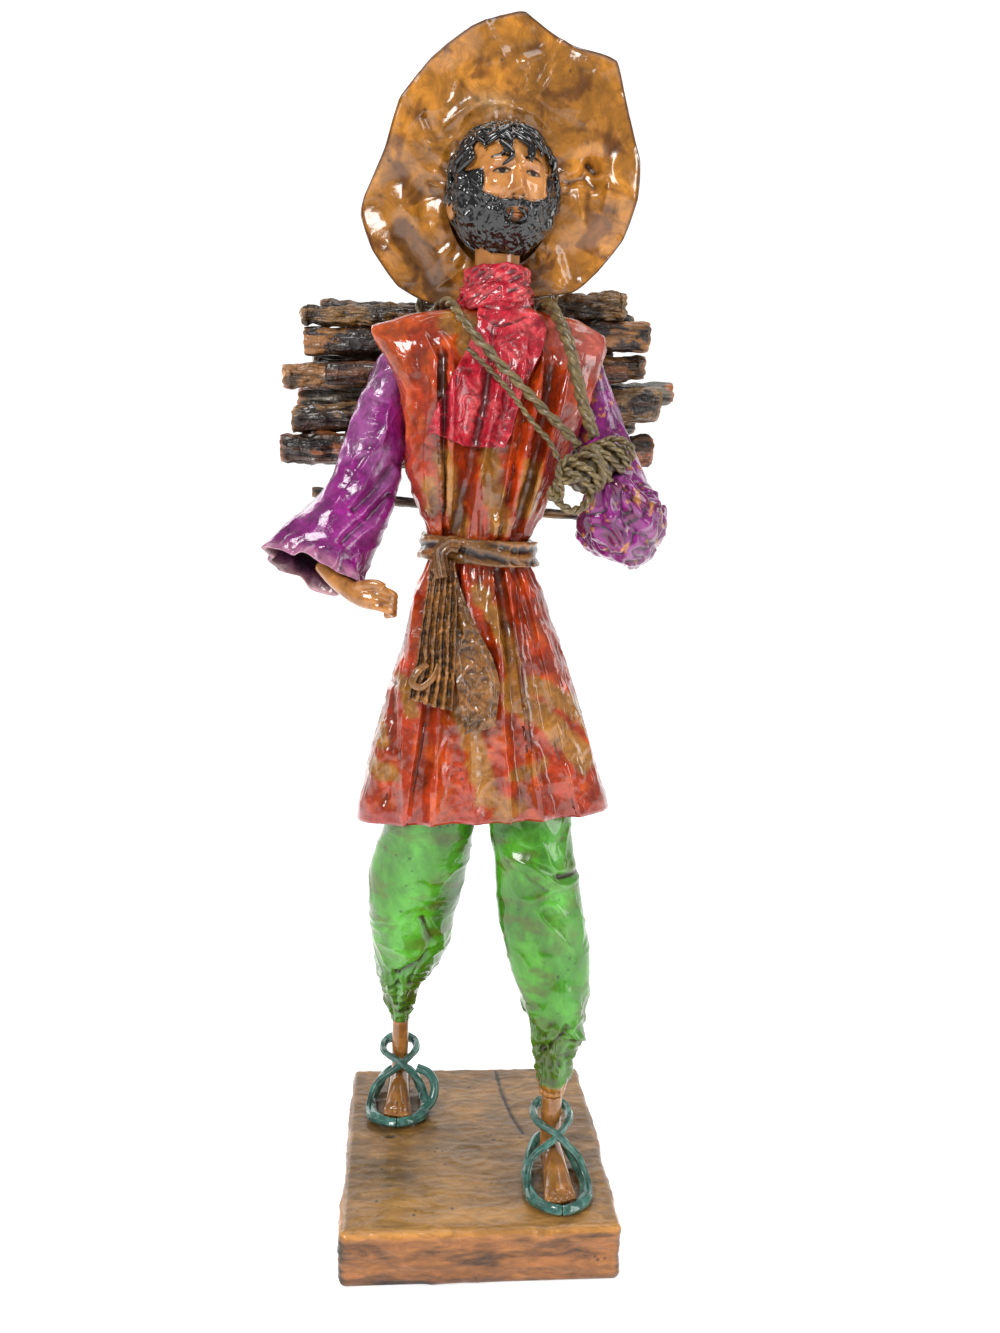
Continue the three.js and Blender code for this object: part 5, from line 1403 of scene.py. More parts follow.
def beard_share(side, front, up):
    """1 where the face carries beard, 0 elsewhere."""
    x, z = 20 * side, 25 * up
    jawline = smooth(0.2, 1.0, -6.5 - z + 0.42 * (np.abs(x) - 6)) * smooth(0.1, 0.2, front)
    sideburn = smooth(12.0, 13.0, np.abs(x)) * smooth(6, 2, z) * smooth(0.2, 0.3, front)
    lips = smooth(4.6, 3.6, np.abs(x)) * smooth(-10.2, -10.6, z) * smooth(-13.6, -13.2, z)
    moustache = smooth(0.6, 1.2, 9 - np.abs(x)) * smooth(-5.8, -6.4, z + 0.16 * np.abs(x)) * smooth(-10.4, -9.8, z)
    return np.clip(np.maximum(np.maximum(jawline, sideburn), moustache) * (1 - lips), 0, 1)


def face_paint(points, flesh):
    """Thin brows, lashes, half-closed eyes and lips painted on the face, at points of the unturned head."""
    x, y, z = (points[..., i] for i in range(3))
    off = np.abs(x)
    ahead = smooth(-8, -12, y)
    # painted highlights: lighter tan on the cheekbones and the middle of the forehead
    tint = blot(flesh, paint(226, 158, 92), 0.5 * bell(off - 8, 4) * bell(z - 0.5, 3))
    tint = blot(tint, paint(230, 168, 104), 0.5 * bell(z - 14, 4) * bell(x, 8))
    # painted shade: darker brown round the eye sockets and down the sides of the nose
    tint = blot(tint, paint(150, 78, 32), 0.5 * ahead * bell(off - 6.4, 3.4) * bell(z - 4.4, 1.6))
    tint = blot(tint, paint(150, 78, 32), 0.45 * ahead * bell(off - 2.6, 1.0) * smooth(4, 0, z) * smooth(-7, -4, z))
    brow_line = 8.4 + 1.1 * np.sin(np.clip((off - 2.2) / 8.2, 0, 1) * math.pi)
    brow = bell(z - brow_line, 0.5 + 0.25 * bell(off - 4, 2)) * smooth(2.2, 3.0, off) * smooth(10.8, 9.8, off)
    eye = smooth(3.1, 2.7, np.abs(off - 6.4) + 1.1 * np.abs(z - 3.3) * 1.6)
    iris = smooth(1.5, 1.2, np.hypot(off - 6.4, (z - 3.5)))
    lash_line = 4.3 - 0.11 * (off - 6.2) ** 2
    lash = bell(z - lash_line, 0.42) * smooth(3.6, 3.0, np.abs(off - 6.5))
    lower = 0.5 * bell(z - 2.4 - 0.06 * (off - 6.4) ** 2, 0.3) * smooth(3.0, 2.4, np.abs(off - 6.4))
    nostril = bell(off - 2.0, 0.7) * bell(z + 5.6, 0.5)
    black = paint(14, 10, 8)
    tint = blot(tint, paint(196, 168, 128), 0.9 * ahead * eye)
    tint = blot(tint, paint(40, 24, 14), ahead * eye * iris)
    for mark in (brow, lash, lower, 0.7 * nostril):
        tint = blot(tint, black, np.clip(1.5 * mark, 0, 1) * ahead)
    lips = bell(z + 12.2, 1.3) * smooth(4.2, 3.2, off)
    return blot(tint, paint(170, 92, 52), 0.7 * ahead * lips)


def locks(share, count, seed, length, radius, fall):
    """Small curling strands of clay hair laid where a share of the head is covered."""
    skins = []
    made = np.random.default_rng(seed)
    while len(skins) < count:
        up = made.uniform(-0.98, 0.98)
        turn = made.uniform(-math.pi, math.pi)
        flat = math.sqrt(1 - up * up)
        side, front = flat * math.sin(turn), flat * math.cos(turn)
        if share(side, front, up) < 0.5 or (front < -0.35 and up > -0.2):
            continue
        reach = made.uniform(*length) / 24
        curl, phase = made.uniform(0.05, 0.13), made.uniform(0, TURN)
        steps = np.linspace(0, 1, 12)
        ups = np.clip(up - fall * reach * steps, -0.995, 0.995)
        turns = turn + (curl * np.sin(steps * 5 + phase) + 0.25 * reach * steps * np.sign(turn)) / max(0.35, flat)
        flats = np.sqrt(1 - ups ** 2)
        route = skull(flats * np.sin(turns), flats * np.cos(turns), ups)
        away = route / np.linalg.norm(route, axis=1, keepdims=True)
        lift = radius * (0.9 + 0.9 * np.sin(steps * math.pi) * made.uniform(0.6, 1.3))
        route = head_turned(route + away * lift[:, None])
        size = radius * made.uniform(0.8, 1.25) * np.sin(np.clip(steps * 0.86 + 0.1, 0, 1) * math.pi) ** 0.6
        points = tube(route, size, size * 0.85, sides=8)
        skins.append(skin(points, tint=tone("hair"), hollow=0.5, black=1.0))
    return skins


def build_head():
    v = np.linspace(-1, 1, 205)[:, None]
    up = np.sin(v * math.pi / 2)
    turn = np.linspace(-0.5, 0.5, 321)[None]
    turn = (turn - 0.055 * np.sin(turn * TURN)) * TURN
    flat = np.sqrt(np.maximum(0, 1 - up ** 2))
    side, front = flat * np.sin(turn), flat * np.cos(turn)
    up = up + 0 * turn
    bare = skull(side, front, up)
    hair, beard = hair_share(side, front, up), beard_share(side, front, up)
    covered = np.maximum(hair, beard)
    tufts = np.abs(rough(bare * [1, 1, 0.55], 3.4, 220))
    thick = hair * 1.7 + beard * (1.5 + 1.4 * bell(bare[..., 2] + 17, 6))
    thick = thick + covered * 1.1 * tufts + (1 - covered) * 0.18 * lumps(bare, 5, 221)
    points = pushed(bare, thick)
    black = tone("hair")
    flesh = blot(tone("skin") * 0.85, tone("skin") * 1.12, smooth(-0.5, 0.6, rough(bare, 9, 222)))
    flesh = blot(flesh, paint(150, 76, 30), 0.5 * smooth(0.35, 0.7, rough(bare, 4, 223)))
    tint = blot(face_paint(bare, flesh), black, smooth(0.35, 0.6, covered))
    dark = smooth(0.35, 0.6, covered)
    points = head_turned(points)
    skins = [painted(points, tint, reach=4, depth=0.8, black=dark)]
    skins += locks(hair_share, 150, 7, (6, 12), 1.35, 1.0)
    skins += locks(beard_share, 95, 9, (4, 8), 0.85, 1.0)
    for way in (-1, 1):
        turn = np.linspace(0, TURN, 33)[None]
        rise = np.linspace(-1, 1, 24)[:, None] * math.pi / 2
        lobe = np.stack([way * 20.6 + 2.2 * np.cos(rise) * np.cos(turn), 2.0 + 3.4 * np.cos(rise) * np.sin(turn),
                         -6 + 6 * np.sin(rise) + 0 * turn], axis=-1)
        lobe[..., 0] -= way * 0.9 * bell(lobe[..., 1] - 1, 1.5) * bell(lobe[..., 2] + 5, 2.6)
        lobe = head_turned(lobe)
        skins.append(painted(lobe, tone("skin") * 0.75 + 0 * lobe, reach=3, depth=0.6, black=0.0))
    rows = np.linspace(0, 1, 20)
    stem = tube(np.stack([-0.6 + 0 * rows, -1.6 + 0 * rows, NECKLINE + 0.5 + 30 * rows], axis=-1), HEAD["neck"],
                sides=40)
    skins.append(painted(stem, tone("skin") * 0.7 + 0 * stem, reach=3, black=0.0))
    return piece("head_clay", skins, head_finish(), "head")


def head_finish():
    """Skin and hair paints in one finish, parted by the black layer."""
    material = lacquered("Face and hair", paint(104, 50, 18), fibre=(120.0, 0.8, 0.88, 1.08),
                         soaked=(80.0, 0.3, 0.8), wrinkle=(220.0, 0.12, 0.15, 0.1), rough_range=(0.15, 0.24),
                         coat=0.8, dots=(300.0, 0.05, 0.6))
    tree = material.node_tree
    shader = tree.nodes["Principled BSDF"]
    black = add_node(tree, "ShaderNodeAttribute", {"attribute_name": "black"}).outputs["Fac"]
    under = shader.inputs["Base Color"].links[0].from_socket
    gloss = noise(tree, object_place(tree), 300.0, 3.0)
    jet = blend_colours(tree, gloss, tuple(tone("hair") * 0.5), tuple(tone("hair") * 2.0))
    tree.links.new(blend_colours(tree, black, under, jet), shader.inputs["Base Color"])
    return material


HAT_RIDGES = [
    ([(24.9, 468.6), (29, 466), (33, 468), (37.2, 475.2)], 2.2, 1.7), ([(42, 472), (46, 462), (43, 444)], 1.3, 2.2),
    ([(-28.5, 473), (-24, 482), (-14, 489), (0, 491), (14, 488), (24, 480)], 2.2, 3.0),
    ([(-46, 455), (-40, 449), (-34, 444)], 2.0, 2.4), ([(-28.5, 471.8), (-34, 480)], 1.4, 2.0),
    ([(6.5, 517), (10, 504), (12, 492)], 0.9, 1.8), ([(20, 517), (16, 511), (6, 506)], 1.4, 1.6),
    ([(24, 513), (20, 503), (14, 494)], 0.8, 1.4), ([(50, 462), (49, 445), (44, 434)], 1.0, 1.8),
    ([(22, 430), (27, 422), (34, 420)], 1.6, 2.4), ([(33, 462), (36, 448), (41, 440)], 1.2, 2.0),
    ([(-22, 436), (-27, 426), (-22, 416)], 1.0, 2.6), ([(-50, 440), (-42, 432), (-34, 428)], 0.8, 2.4),
]
HAT_HOLLOWS = [
    ([(38, 471), (41, 468)], 3.4, 1.9), ([(30, 463), (36, 465), (40, 462)], 2.2, 2.4),
    ([(-40, 438), (-32, 428), (-26, 420)], 2.0, 4.5), ([(-34, 456), (-30, 447)], 1.6, 4.0),
    ([(30, 436), (34, 426)], 1.6, 3.6), ([(-27, 477), (-31, 484)], 1.2, 2.0),
    ([(4, 511), (14, 514)], 0.9, 2.4), ([(-24, 500), (-14, 508)], 0.8, 5.0),
]


def hat_face(outline, shares, side):
    """One face of the hat: the crown's bowl up to share 1 and the brim out to share 2."""
    mx, my, mz = HAT["middle"]
    rim = outline[None]
    angle = np.arctan2(rim[..., 0] - mx, rim[..., 1] - mz)
    edge_x, edge_z = mx + HAT["opening"][0] * np.sin(angle), mz + HAT["opening"][1] * np.cos(angle)
    slope = math.tan(math.radians(HAT["lean"]))
    share = np.asarray(shares)[:, None]
    thick = HAT["sheet"]
    bowl = np.clip(share, 0, 1) * math.pi / 2
    round_out = np.sin(bowl) * (1 + side * thick / HAT["opening"][0])
    cx, cz = mx + (edge_x - mx) * round_out, mz + (edge_z - mz) * round_out
    cy = my + (mz - cz) * slope + HAT["crown"] * np.cos(bowl) + side * thick * (0.4 + 0.6 * np.cos(bowl))
    t = np.clip(share - 1, 0, 1)
    bx, bz = mix(edge_x, rim[..., 0], t), mix(edge_z, rim[..., 1], t)
    wave = (3 * np.sin(3 * angle + 0.6) + 1.8 * np.sin(7 * angle)) * t * t * smooth(415, 445, bz)
    dent = 4 * bell(bx - 38, 7) * bell(bz - 470, 6) - 2.5 * bell(bx + 40, 9) * bell(bz - 452, 8)
    by = my + (mz - bz) * slope + wave * folds().hat_wave + dent * np.sin(t * math.pi) + side * thick
    brim = share > 1
    points = np.stack([np.where(brim, bx, cx), np.where(brim, by, cy), np.where(brim, bz, cz)], axis=-1)
    return points


def build_hat():
    places = np.linspace(0, len(BRIM), 401)
    soft = spline(BRIM, places, closed=True)
    straight = np.array([np.interp(places, np.arange(len(BRIM) + 1), [*(p[i] for p in BRIM), BRIM[0][i]])
                         for i in range(2)]).T
    outline = mix(soft, straight, 0.55)
    shares = np.concatenate([np.linspace(0, 1, 32)[:-1], np.linspace(1, 2, 80)])
    front = hat_face(outline, shares, 0)
    back = hat_face(outline, shares, 1)[::-1]
    points = np.concatenate([front, back], axis=0)
    x, z = points[..., 0], points[..., 2]
    share = np.concatenate([shares, shares[::-1]])[:, None]
    brim = smooth(1.0, 1.12, share) + 0 * x
    height = 1.5 * rough(points, 34, 240) * (0.3 + 0.7 * brim)
    for line, tall, width in HAT_RIDGES:
        height = height + tall * ridge(x, z, line, width) * brim
    for line, deep, width in HAT_HOLLOWS:
        height = height - deep * stroke(x, z, line, width) * brim
    angle = np.arctan2(x - HAT["middle"][0], z - HAT["middle"][2])
    spokes = np.sin(angle * 19 + 3 * np.sin(angle * 5)) * bell(share - 1.12, 0.16)
    height = height + 0.5 * spokes + 0.7 * (crumple(points, 26, 245) - 0.3) + 0.15 * crumple(points, 10, 247)
    roll = 0.5 * smooth(1.955, 2.0, share)
    toward_front = np.zeros_like(points)
    toward_front[..., 1] = -height * brim
    points = points + toward_front
    points[..., 1] -= roll
    gold = tone("hat")
    tint = blot(gold * 0.66, gold * 1.12, smooth(-0.55, 0.45, rough(points, 26, 250, 4)))
    tint = blot(tint, paint(96, 50, 14), 0.75 * smooth(0.1, 0.7, rough(warped(points, 12, 6, 251), 15, 254, 4)))
    # painted highlight: a pale spot on the bulge of the brim just above the head
    pale = bell(x + 5, 8) * bell(z - 491, 4)
    tint = blot(tint, paint(206, 168, 120), 0.6 * pale * brim)
    shade = patch(points, [(-41, 440), (-30, 430), (-24, 418)], 6, 5)
    tint = blot(tint, paint(66, 32, 10), 0.7 * shade * brim)
    # painted shade: a dark ring in the groove where the brim meets the crown round the head
    tint = blot(tint, paint(84, 40, 10), 0.6 * bell(share - 1.02, 0.07))
    tint = blot(tint, paint(70, 36, 10), 0.85 * smooth(1.965, 1.99, share))
    skins = [painted(points, tint, reach=16, depth=1.3)]
    material = lacquered("Hat paper", paint(58, 26, 6), fibre=(85.0, 2.6, 0.6, 1.18), soaked=(34.0, 0.4, 0.9),
                         wrinkle=(140.0, 0.25, 0.35, 0.28), rough_range=(0.17, 0.34), coat=0.6)
    return piece("hat_paper", skins, material, "hat")


# ---------------------------------------------------------------- ropes and firewood

ROPES = {
    "left_shoulder_rope": (1.9, [(-28, 25, 399), (-26.5, 14, 407.2), (-23, 3, 411), (-19.5, -8, 410),
                                 (-16, -19, 403), (-9, -27, 393.5), (8, -31, 376), (24, -37, 360), (31, -40.5, 352.8)]),
    "thin_shoulder_cord": (1.1, [(-13.5, -25.6, 390.5), (0, -29.4, 377.5), (11, -32.5, 364.5), (20, -36.5, 353.5),
                                 (23.2, -39, 347.5)]),
    "right_shoulder_rope": (2.4, [(23, 25, 400), (21, 13, 407.8), (19.6, 4, 412), (21, -6, 411), (24, -16, 404),
                                  (28, -26, 391.5), (33, -33, 370), (37.5, -38.5, 356.5)]),
}


def rope_finish():
    if "Rope fibre" in bpy.data.materials:
        return bpy.data.materials["Rope fibre"]
    return lacquered("Rope fibre", paint(38, 28, 12), stretch=(2.0, 26.0, 1.0), fibre=(3.0, 0.6, 0.6, 1.35),
                     soaked=(1.4, 0.46, 1.3), wrinkle=(420.0, 0.3, 0.4, 0.16), rough_range=(0.3, 0.5), coat=0.35,
                     dots=(300.0, 0.05, 0.4), use_uv=True)


def rope_skins(route, radius, strands, pitch, seed):
    skins = []
    for number, points in enumerate(twine(route, radius, strands, pitch, sides=9)):
        points = pushed(points, 0.16 * radius * lumps(points, 2.2, seed + number))
        straw = tone("rope")
        tint = blot(straw * 0.75, straw * 1.25, smooth(-0.4, 0.5, rough(points, 6, seed + number)))
        skins.append(painted(points, tint, reach=2, depth=0.35))
    return skins


def build_rope(name):
    radius, points = ROPES[name]
    route = routed(points, 200)
    wobble = np.stack([lumps(route, 9, 260 + k) for k in range(3)], axis=-1) * 0.35
    strands = {"right_shoulder_rope": 3}.get(name, 2)
    skins = rope_skins(route + wobble, radius, strands, sizes().twist_pitch * radius / 1.9, 262)
    return piece(f"{name}_fibre", skins, rope_finish(), name)


def build_wrist_wrap():
    """Many loose turns of thin cord round the gathered wrist, with a hanging loop, a ring and a knob."""
    start, axis = np.array([47.5, -37.6, 351.0]), np.array([24, -47, 335.5]) - np.array([47, -38, 350.5])
    axis = axis / np.linalg.norm(axis)
    out = np.array([0, 0, 1]) - axis * axis[2]
    out = out / np.linalg.norm(out)
    side = np.cross(axis, out)
    skins = []
    core_steps = np.linspace(0, 1, 30)
    core = start + np.outer(core_steps * 23, axis)
    bulge = 7.4 * (0.62 + 0.3 * np.sin(core_steps * math.pi))
    # painted shade: a dark core under the turns, so the gaps between them look shaded
    grid = tube(core, bulge * 0.92, sides=40)
    skins.append(painted(grid, tone("rope") * 0.35 + 0 * grid, reach=3, depth=0.5))
    made = np.random.default_rng(17)
    for k in range(9):
        steps = np.linspace(0, 1, 90)
        angle = TURN * (steps * 1.15) + k * 0.7
        tilt = made.uniform(0.9, 1.6)
        along = 1.5 + 20.5 * k / 8 + tilt * 2.6 * np.sin(angle + k) + made.uniform(-0.6, 0.6)
        share = np.clip(along / 24, 0, 1)
        wide = 7.4 * (0.72 + 0.28 * np.sin(share * math.pi)) + 0.25 + 0.5 * made.uniform()
        route = (start + along[:, None] * axis + (wide * np.cos(angle))[:, None] * out
                 + (wide * np.sin(angle))[:, None] * side)
        skins += rope_skins(route, 1.35 + 0.25 * made.uniform(), 2, 9.0, 270 + k)
    loops = [
        ([(31, -45, 344), (26.5, -47.5, 348), (22.5, -48, 344), (24, -48, 339.5), (29, -47.5, 340), (31, -46, 344)], 1.5),
        ([(24, -47, 342), (21.5, -48, 337), (22.5, -48, 331.5), (27, -47.5, 328), (32, -46, 328.5), (36, -43.5, 333),
          (37.5, -42, 338)], 1.7),
        ([(20.2, -47.5, 336), (19.2, -48.5, 334), (20.5, -49.5, 332), (23, -49, 333), (23.5, -48, 336), (21.5, -47.5, 338)],
         1.6),
        ([(47.5, -33.5, 353.5), (50.5, -34.5, 352), (51.5, -34.5, 348.5), (49, -35.5, 346.5), (47, -36, 349)], 1.2),
    ]
    for number, (points, radius) in enumerate(loops):
        skins += rope_skins(routed(points, 80), radius, 2, 8.0, 290 + number)
    return piece("wrist_wrap_fibre", skins, rope_finish(), "wrist_wrap")


def build_tie(name, x):
    turn = np.linspace(0, TURN, 161)
    bend_y, bend_z = (np.sign(f) * np.abs(f) ** 0.5 for f in (np.cos(turn), np.sin(turn)))
    route = np.stack([x + np.cos(turn), 47 + 22.8 * bend_y, 381.5 + 45.5 * bend_z], axis=-1)
    route = spline(route, np.linspace(0, 160, 400))
    return piece(f"{name}_fibre", rope_skins(route, 1.7, 2, sizes().twist_pitch, 300), rope_finish(), name)


# Each stick's left end X, Z and radius, right end X, Z and radius, Y and sides, then how it looks:
# its bark and end colours, how deep its furrows are, and how far its ends are splintered.
FIREWOOD = [
    ((-86, 407, 3.6, 62, 417, 6, 34, 8), (92, 66, 36), (150, 110, 60), 1.5, 3.0),
    ((-84, 396.6, 6.2, 73, 404.4, 6.6, 35, 9), (48, 30, 20), (170, 112, 54), 0.7, 2.0),
    ((-94.5, 382, 5.6, 73.5, 392, 5.6, 41.6, 8), (120, 78, 42), (184, 128, 72), 0.9, 2.5),
    ((-74, 383, 5.4, 63, 388.4, 4.4, 31, 6), (96, 56, 30), (40, 26, 18), 0.5, 1.0),
    ((-88, 372, 5.4, 89, 381, 5, 52, 7), (104, 96, 84), (200, 108, 50), 0.8, 1.2),
    ((-89, 362, 6.2, 79, 374.5, 8, 35, 10), (58, 36, 24), (196, 150, 96), 0.9, 1.2),
    ((-94.5, 349, 6.6, 77, 352.6, 6.6, 35, 8), (62, 40, 26), (186, 112, 66), 1.4, 1.6),
    ((-66, 360.5, 4.4, 66, 362.5, 4.6, 47.4, 8), (50, 34, 26), (110, 80, 50), 0.6, 1.0),
    ((-78, 411, 6, 68, 410, 6, 47.4, 8), (70, 52, 38), (140, 100, 60), 1.3, 2.5),
    ((-82, 395, 6, 60, 396.5, 6, 54, 8), (56, 44, 36), (120, 90, 60), 1.0, 2.0),
    ((-70, 384, 5.6, 74, 367.4, 5.6, 63, 8), (44, 32, 26), (150, 100, 60), 1.0, 2.0),
    ((-80, 349, 6, 70, 350, 6, 48.6, 9), (40, 34, 32), (120, 84, 56), 0.8, 1.4),
    ((-72, 366, 5.4, 58, 354, 5.4, 60, 7), (58, 40, 28), (150, 104, 60), 0.9, 1.6),
    ((-79, 330, 2.2, 79, 320.5, 2.2, 21.6, 6), (70, 52, 30), (150, 110, 64), 0.3, 0.8),
]


def firewood_finish():
    if "Firewood" in bpy.data.materials:
        return bpy.data.materials["Firewood"]
    return lacquered("Firewood", paint(10, 7, 5), stretch=(0.16, 1.0, 1.0), fibre=(240.0, 0.8, 0.4, 1.5),
                     soaked=(110.0, 0.4, 1.0), wrinkle=(170.0, 0.7, 0.5, 0.55), rough_range=(0.28, 0.55), coat=0.35,
                     dots=(300.0, 0.15, 0.7))


def build_stick(number):
    """A stick or split log: furrowed bark along it, flat split faces and rough broken ends."""
    (x0, z0, r0, x1, z1, r1, y, sides), bark, inner, furrow, splinter = FIREWOOD[number]
    inset = np.array([0, 0.25, 0.5, 0.75, 0.93])
    along = np.linspace(0, 1, 110)
    t = np.concatenate([0 * inset, along, 0 * inset + 1])[:, None]
    edge = np.concatenate([inset, np.ones(110), inset[::-1]])[:, None]
    angle = np.linspace(0, TURN, 97)[None]
    flatness = 0.92 if sides < 8 else 0.97
    corner = np.cos(math.pi / sides) / np.cos((angle + number) % (TURN / sides) - math.pi / sides)
    shape = mix(1, corner / flatness, 0.75 if sides < 9 else 0.35)
    wave = 0.94 + 0.05 * np.sin(3 * angle + number) + 0.03 * np.sin(7 * t + 2 * number)
    radius = mix(r0, r1, t) * wave * shape
    across, up = edge * radius * np.cos(angle), edge * radius * np.sin(angle)
    ends = splinter * (0.5 + 0.5 * lumps(np.stack([0 * across, across, up], axis=-1) + [number * 9, 0, 0], 2.4, 310))
    x = mix(x0, x1, t) + ends * np.where(t < 0.5, 1, -1) * np.where((t < 0.02) | (t > 0.98), 1, 0)
    bend = 0.8 * np.sin(t * 5 + number)
    points = np.stack([x + 0 * angle, y + across + bend, mix(z0, z1, t) + up + 0.6 * np.cos(t * 7 + number)], axis=-1)
    coarse = points * [0.13, 1, 1] + number * 7.3
    furrows = np.abs(rough(coarse, 3.2, 320)) ** 0.7
    knots = crumple(points * [0.35, 1, 1] + number, 6, 325)
    height = sizes().bark_depth * furrow * (1.9 * furrows - 0.7) + 0.5 * furrow * knots
    height = height + 0.7 * furrow * rough(points + number * 3, 7, 330)
    skin_share = (edge == 1) * smooth(0, 0.012, np.minimum(t, 1 - t))
    points = pushed(points, height * skin_share)
    bark_tone, inner_tone = np.array(paint(*bark)), np.array(paint(*inner))
    tint = blot(bark_tone * 0.35, bark_tone * 1.5, smooth(-0.25, 0.55, rough(coarse, 3.2, 320)))
    bare = smooth(0.2, 0.32, rough(warped(points, 5, 2, 340) * [0.4, 1, 1] + number * 5, 9, 341))
    tint = blot(tint, mix(bark_tone, inner_tone, 0.75), 0.8 * bare)
    ring = 0.75 + 0.25 * np.sin(edge * mix(r0, r1, t) * 5 + 0.6 * np.sin(angle * 3))
    end_face = np.where(edge < 1, ring, 0) + 0.6 * (edge == 1) * smooth(0.012, 0.0, np.minimum(t, 1 - t))
    tint = blot(tint, inner_tone, np.clip(end_face, 0, 1) + 0 * angle)
    return piece(f"firewood_{number + 1:02d}_bark", [painted(points, tint, reach=4, depth=0.9)], firewood_finish(),
                 f"firewood_{number + 1:02d}")


# ---------------------------------------------------------------- stage

CAMERA = {"place": (-36.4, -489.0, 342.1), "yaw": 4.94, "down": 9.89, "roll": 1.76}


def plain_finish(name, rgb, roughness):
    material = bpy.data.materials.new(name)
    material.use_nodes = True
    shader = material.node_tree.nodes["Principled BSDF"]
    shader.inputs["Base Color"].default_value = (*rgb, 1.0)
    shader.inputs["Roughness"].default_value = roughness
    return material


def softbox(name, place, aim, size, watts):
    light = bpy.data.lights.new(name, "AREA")
    light.shape = "RECTANGLE"
    light.size, light.size_y = size
    light.energy = watts
    obj = bpy.data.objects.new(name, light)
    bpy.context.scene.collection.objects.link(obj)
    obj.location = place
    obj.rotation_euler = (Vector(aim) - Vector(place)).to_track_quat("-Z", "Y").to_euler()


def build_stage():
    """A pale floor that curves up into a backdrop, soft lights and the camera."""
    settings = bpy.context.scene.figure_stage
    bm = bmesh.new()
    bmesh.ops.create_grid(bm, x_segments=2, y_segments=64, size=4.0)
    for vert in bm.verts:
        run = vert.co.y + 1.2
        bend = max(0.0, run - 1.5)
        angle = min(bend / 1.2, math.pi / 2)
        rise = 1.2 * (1 - math.cos(angle)) + max(0.0, bend - 1.2 * math.pi / 2)
        vert.co.y = min(run, 1.5) + 1.2 * math.sin(angle)
        vert.co.z = rise
    for face in bm.faces:
        face.smooth = True
    mesh = bpy.data.meshes.new("floor")
    bm.to_mesh(mesh)
    bm.free()
    floor = bpy.data.objects.new("floor", mesh)
    pale = plain_finish("Pale floor", (0.93, 0.93, 0.93), 0.7)
    pale.node_tree.nodes["Principled BSDF"].inputs["Emission Color"].default_value = (1.0, 1.0, 1.0, 1.0)
    pale.node_tree.nodes["Principled BSDF"].inputs["Emission Strength"].default_value = 0.56
    mesh.materials.append(pale)
    bpy.context.scene.collection.objects.link(floor)
    middle = (0, 0, 0.28)
    softbox("Key softbox", (-0.55, -0.95, 0.95), middle, (0.42, 0.42), settings.key_power)
    softbox("Fill softbox", (0.95, -0.6, 0.55), middle, (0.35, 0.8), settings.fill_power)
    softbox("Top softbox", (0.1, 0.1, 1.3), middle, (0.7, 0.7), settings.fill_power)
    softbox("Back softbox", (-0.7, 0.8, 0.7), middle, (0.5, 0.8), settings.fill_power * 0.7)
    world = bpy.data.worlds.new("Pale room")
    world.use_nodes = True
    world.node_tree.nodes["Background"].inputs["Color"].default_value = (1.0, 1.0, 1.0, 1.0)
    world.node_tree.nodes["Background"].inputs["Strength"].default_value = 0.3
    bpy.context.scene.world = world
    bpy.context.scene.view_settings.view_transform = "Standard"
    yaw, down, roll = (math.radians(CAMERA[key]) for key in ("yaw", "down", "roll"))
    right = Vector((math.cos(yaw), -math.sin(yaw), 0))
    ahead = Vector((math.sin(yaw) * math.cos(down), math.cos(yaw) * math.cos(down), -math.sin(down)))
    up = Vector((math.sin(yaw) * math.sin(down), math.cos(yaw) * math.sin(down), math.cos(down)))
    right, up = right * math.cos(roll) + up * math.sin(roll), up * math.cos(roll) - right * math.sin(roll)
    data = bpy.data.cameras.new("Camera")
    data.lens = settings.focal_length
    data.sensor_width = 36.0
    data.clip_start = 0.01
    camera = bpy.data.objects.new("Camera", data)
    bpy.context.scene.collection.objects.link(camera)
    turn = Matrix((right, up, -ahead)).transposed().to_4x4()
    camera.matrix_world = Matrix.Translation(Vector(CAMERA["place"]) * MM) @ turn
    bpy.context.scene.camera = camera


# ---------------------------------------------------------------- operators

class FIGURE_OT_stage(bpy.types.Operator):
    """Set up the pale floor, the soft lights and the camera"""

    bl_idname = "figure.stage"
    bl_label = "Stage"

    def execute(self, context):
        build_stage()
        return {"FINISHED"}


class FIGURE_OT_base(bpy.types.Operator):
    """Build the block covered with varnished paper"""

    bl_idname = "figure.base"
    bl_label = "Base"

    def execute(self, context):
        build_base()
        return {"FINISHED"}


class FIGURE_OT_legs(bpy.types.Operator):
    """Build the trouser legs, the feet and their sandals"""

    bl_idname = "figure.legs"
    bl_label = "Legs and sandals"

    def execute(self, context):
        build_leg("left", LEFT_LEG, 0)
        build_leg("right", RIGHT_LEG, 2)
        for side, foot in (("left", LEFT_FOOT), ("right", RIGHT_FOOT)):
            build_foot(side, foot)
            build_sandal(side, foot)
        return {"FINISHED"}


class FIGURE_OT_tunic(bpy.types.Operator):
    """Build the folded paper tunic"""

    bl_idname = "figure.tunic"
    bl_label = "Tunic"

    def execute(self, context):
        build_tunic()
        return {"FINISHED"}


class FIGURE_OT_neckerchief(bpy.types.Operator):
    """Build the neckerchief's collar and hanging front"""

    bl_idname = "figure.neckerchief"
    bl_label = "Neckerchief"

    def execute(self, context):
        build_neckerchief()
        return {"FINISHED"}


class FIGURE_OT_sash(bpy.types.Operator):
    """Build the belt, its knot and its hanging ends"""

    bl_idname = "figure.sash"
    bl_label = "Sash"

    def execute(self, context):
        build_sash()
        return {"FINISHED"}


class FIGURE_OT_sleeves(bpy.types.Operator):
    """Build both sleeves and the left hand"""

    bl_idname = "figure.sleeves"
    bl_label = "Sleeves and hand"

    def execute(self, context):
        build_left_sleeve()
        build_right_sleeve()
        build_left_hand()
        return {"FINISHED"}


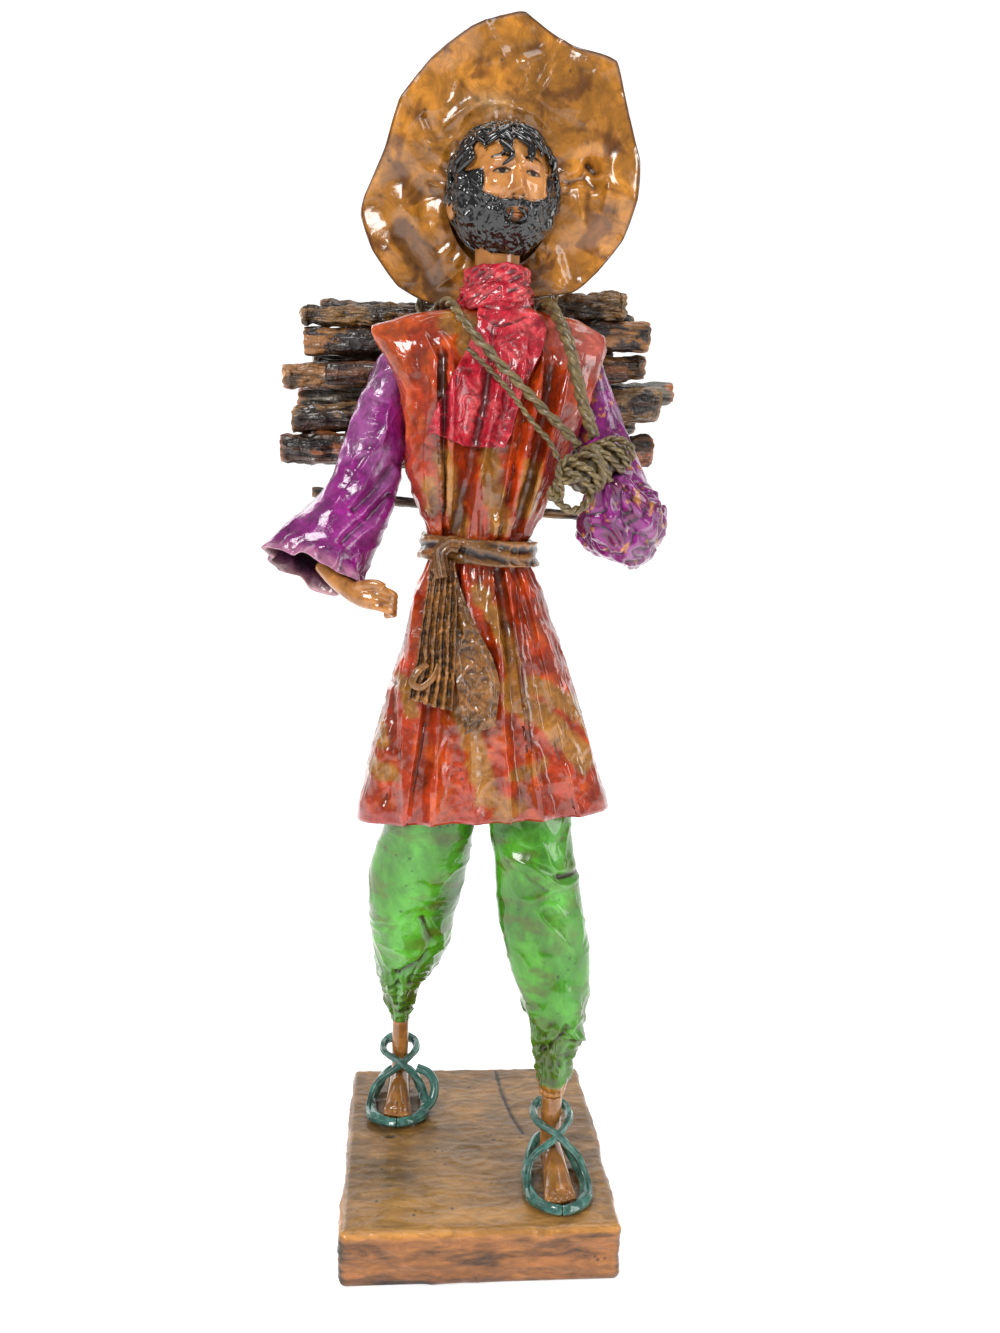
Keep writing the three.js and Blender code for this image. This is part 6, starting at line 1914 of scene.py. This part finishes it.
class FIGURE_OT_head(bpy.types.Operator):
    """Build the head with its hair and beard"""

    bl_idname = "figure.head"
    bl_label = "Head"

    def execute(self, context):
        build_head()
        return {"FINISHED"}


class FIGURE_OT_hat(bpy.types.Operator):
    """Build the wide hat"""

    bl_idname = "figure.hat"
    bl_label = "Hat"

    def execute(self, context):
        build_hat()
        return {"FINISHED"}


class FIGURE_OT_ropes(bpy.types.Operator):
    """Build the shoulder ropes, the wrist wrap and the bundle ties"""

    bl_idname = "figure.ropes"
    bl_label = "Ropes"

    def execute(self, context):
        for name in ROPES:
            build_rope(name)
        build_wrist_wrap()
        build_tie("left_bundle_tie", -31.4)
        build_tie("right_bundle_tie", 28.4)
        return {"FINISHED"}


class FIGURE_OT_firewood(bpy.types.Operator):
    """Build the sticks and split logs of the bundle"""

    bl_idname = "figure.firewood"
    bl_label = "Firewood"

    def execute(self, context):
        for number in range(len(FIREWOOD)):
            build_stick(number)
        return {"FINISHED"}


OPERATORS = (
    FIGURE_OT_stage, FIGURE_OT_base, FIGURE_OT_legs, FIGURE_OT_tunic, FIGURE_OT_neckerchief, FIGURE_OT_sash,
    FIGURE_OT_sleeves, FIGURE_OT_head, FIGURE_OT_hat, FIGURE_OT_ropes, FIGURE_OT_firewood,
)
SETTINGS = (
    ("figure_paints", FigurePaints), ("figure_folds", PaperFolds), ("figure_sizes", BundleSizes),
    ("figure_stage", StageSettings),
)


class FIGURE_PT_panel(bpy.types.Panel):
    """Lists the figure's operators and settings"""

    bl_label = "Firewood carrier"
    bl_space_type = "VIEW_3D"
    bl_region_type = "UI"
    bl_category = "Figure"

    def draw(self, context):
        for operator in OPERATORS:
            self.layout.operator(operator.bl_idname)
        for name, group in SETTINGS:
            box = self.layout.box()
            box.label(text=group.__name__)
            for setting in group.__annotations__:
                box.prop(getattr(context.scene, name), setting)


def register():
    for _, group in SETTINGS:
        bpy.utils.register_class(group)
    for name, group in SETTINGS:
        setattr(bpy.types.Scene, name, PointerProperty(type=group))
    for operator in (*OPERATORS, FIGURE_PT_panel):
        bpy.utils.register_class(operator)


def unregister():
    for operator in (FIGURE_PT_panel, *reversed(OPERATORS)):
        bpy.utils.unregister_class(operator)
    for name, group in reversed(SETTINGS):
        delattr(bpy.types.Scene, name)
        bpy.utils.unregister_class(group)


def main():
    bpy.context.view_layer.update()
    register()
    for operator in OPERATORS:
        getattr(bpy.ops.figure, operator.bl_idname.split(".")[1])()
    bpy.context.view_layer.update()


if __name__ == "__main__":
    main()
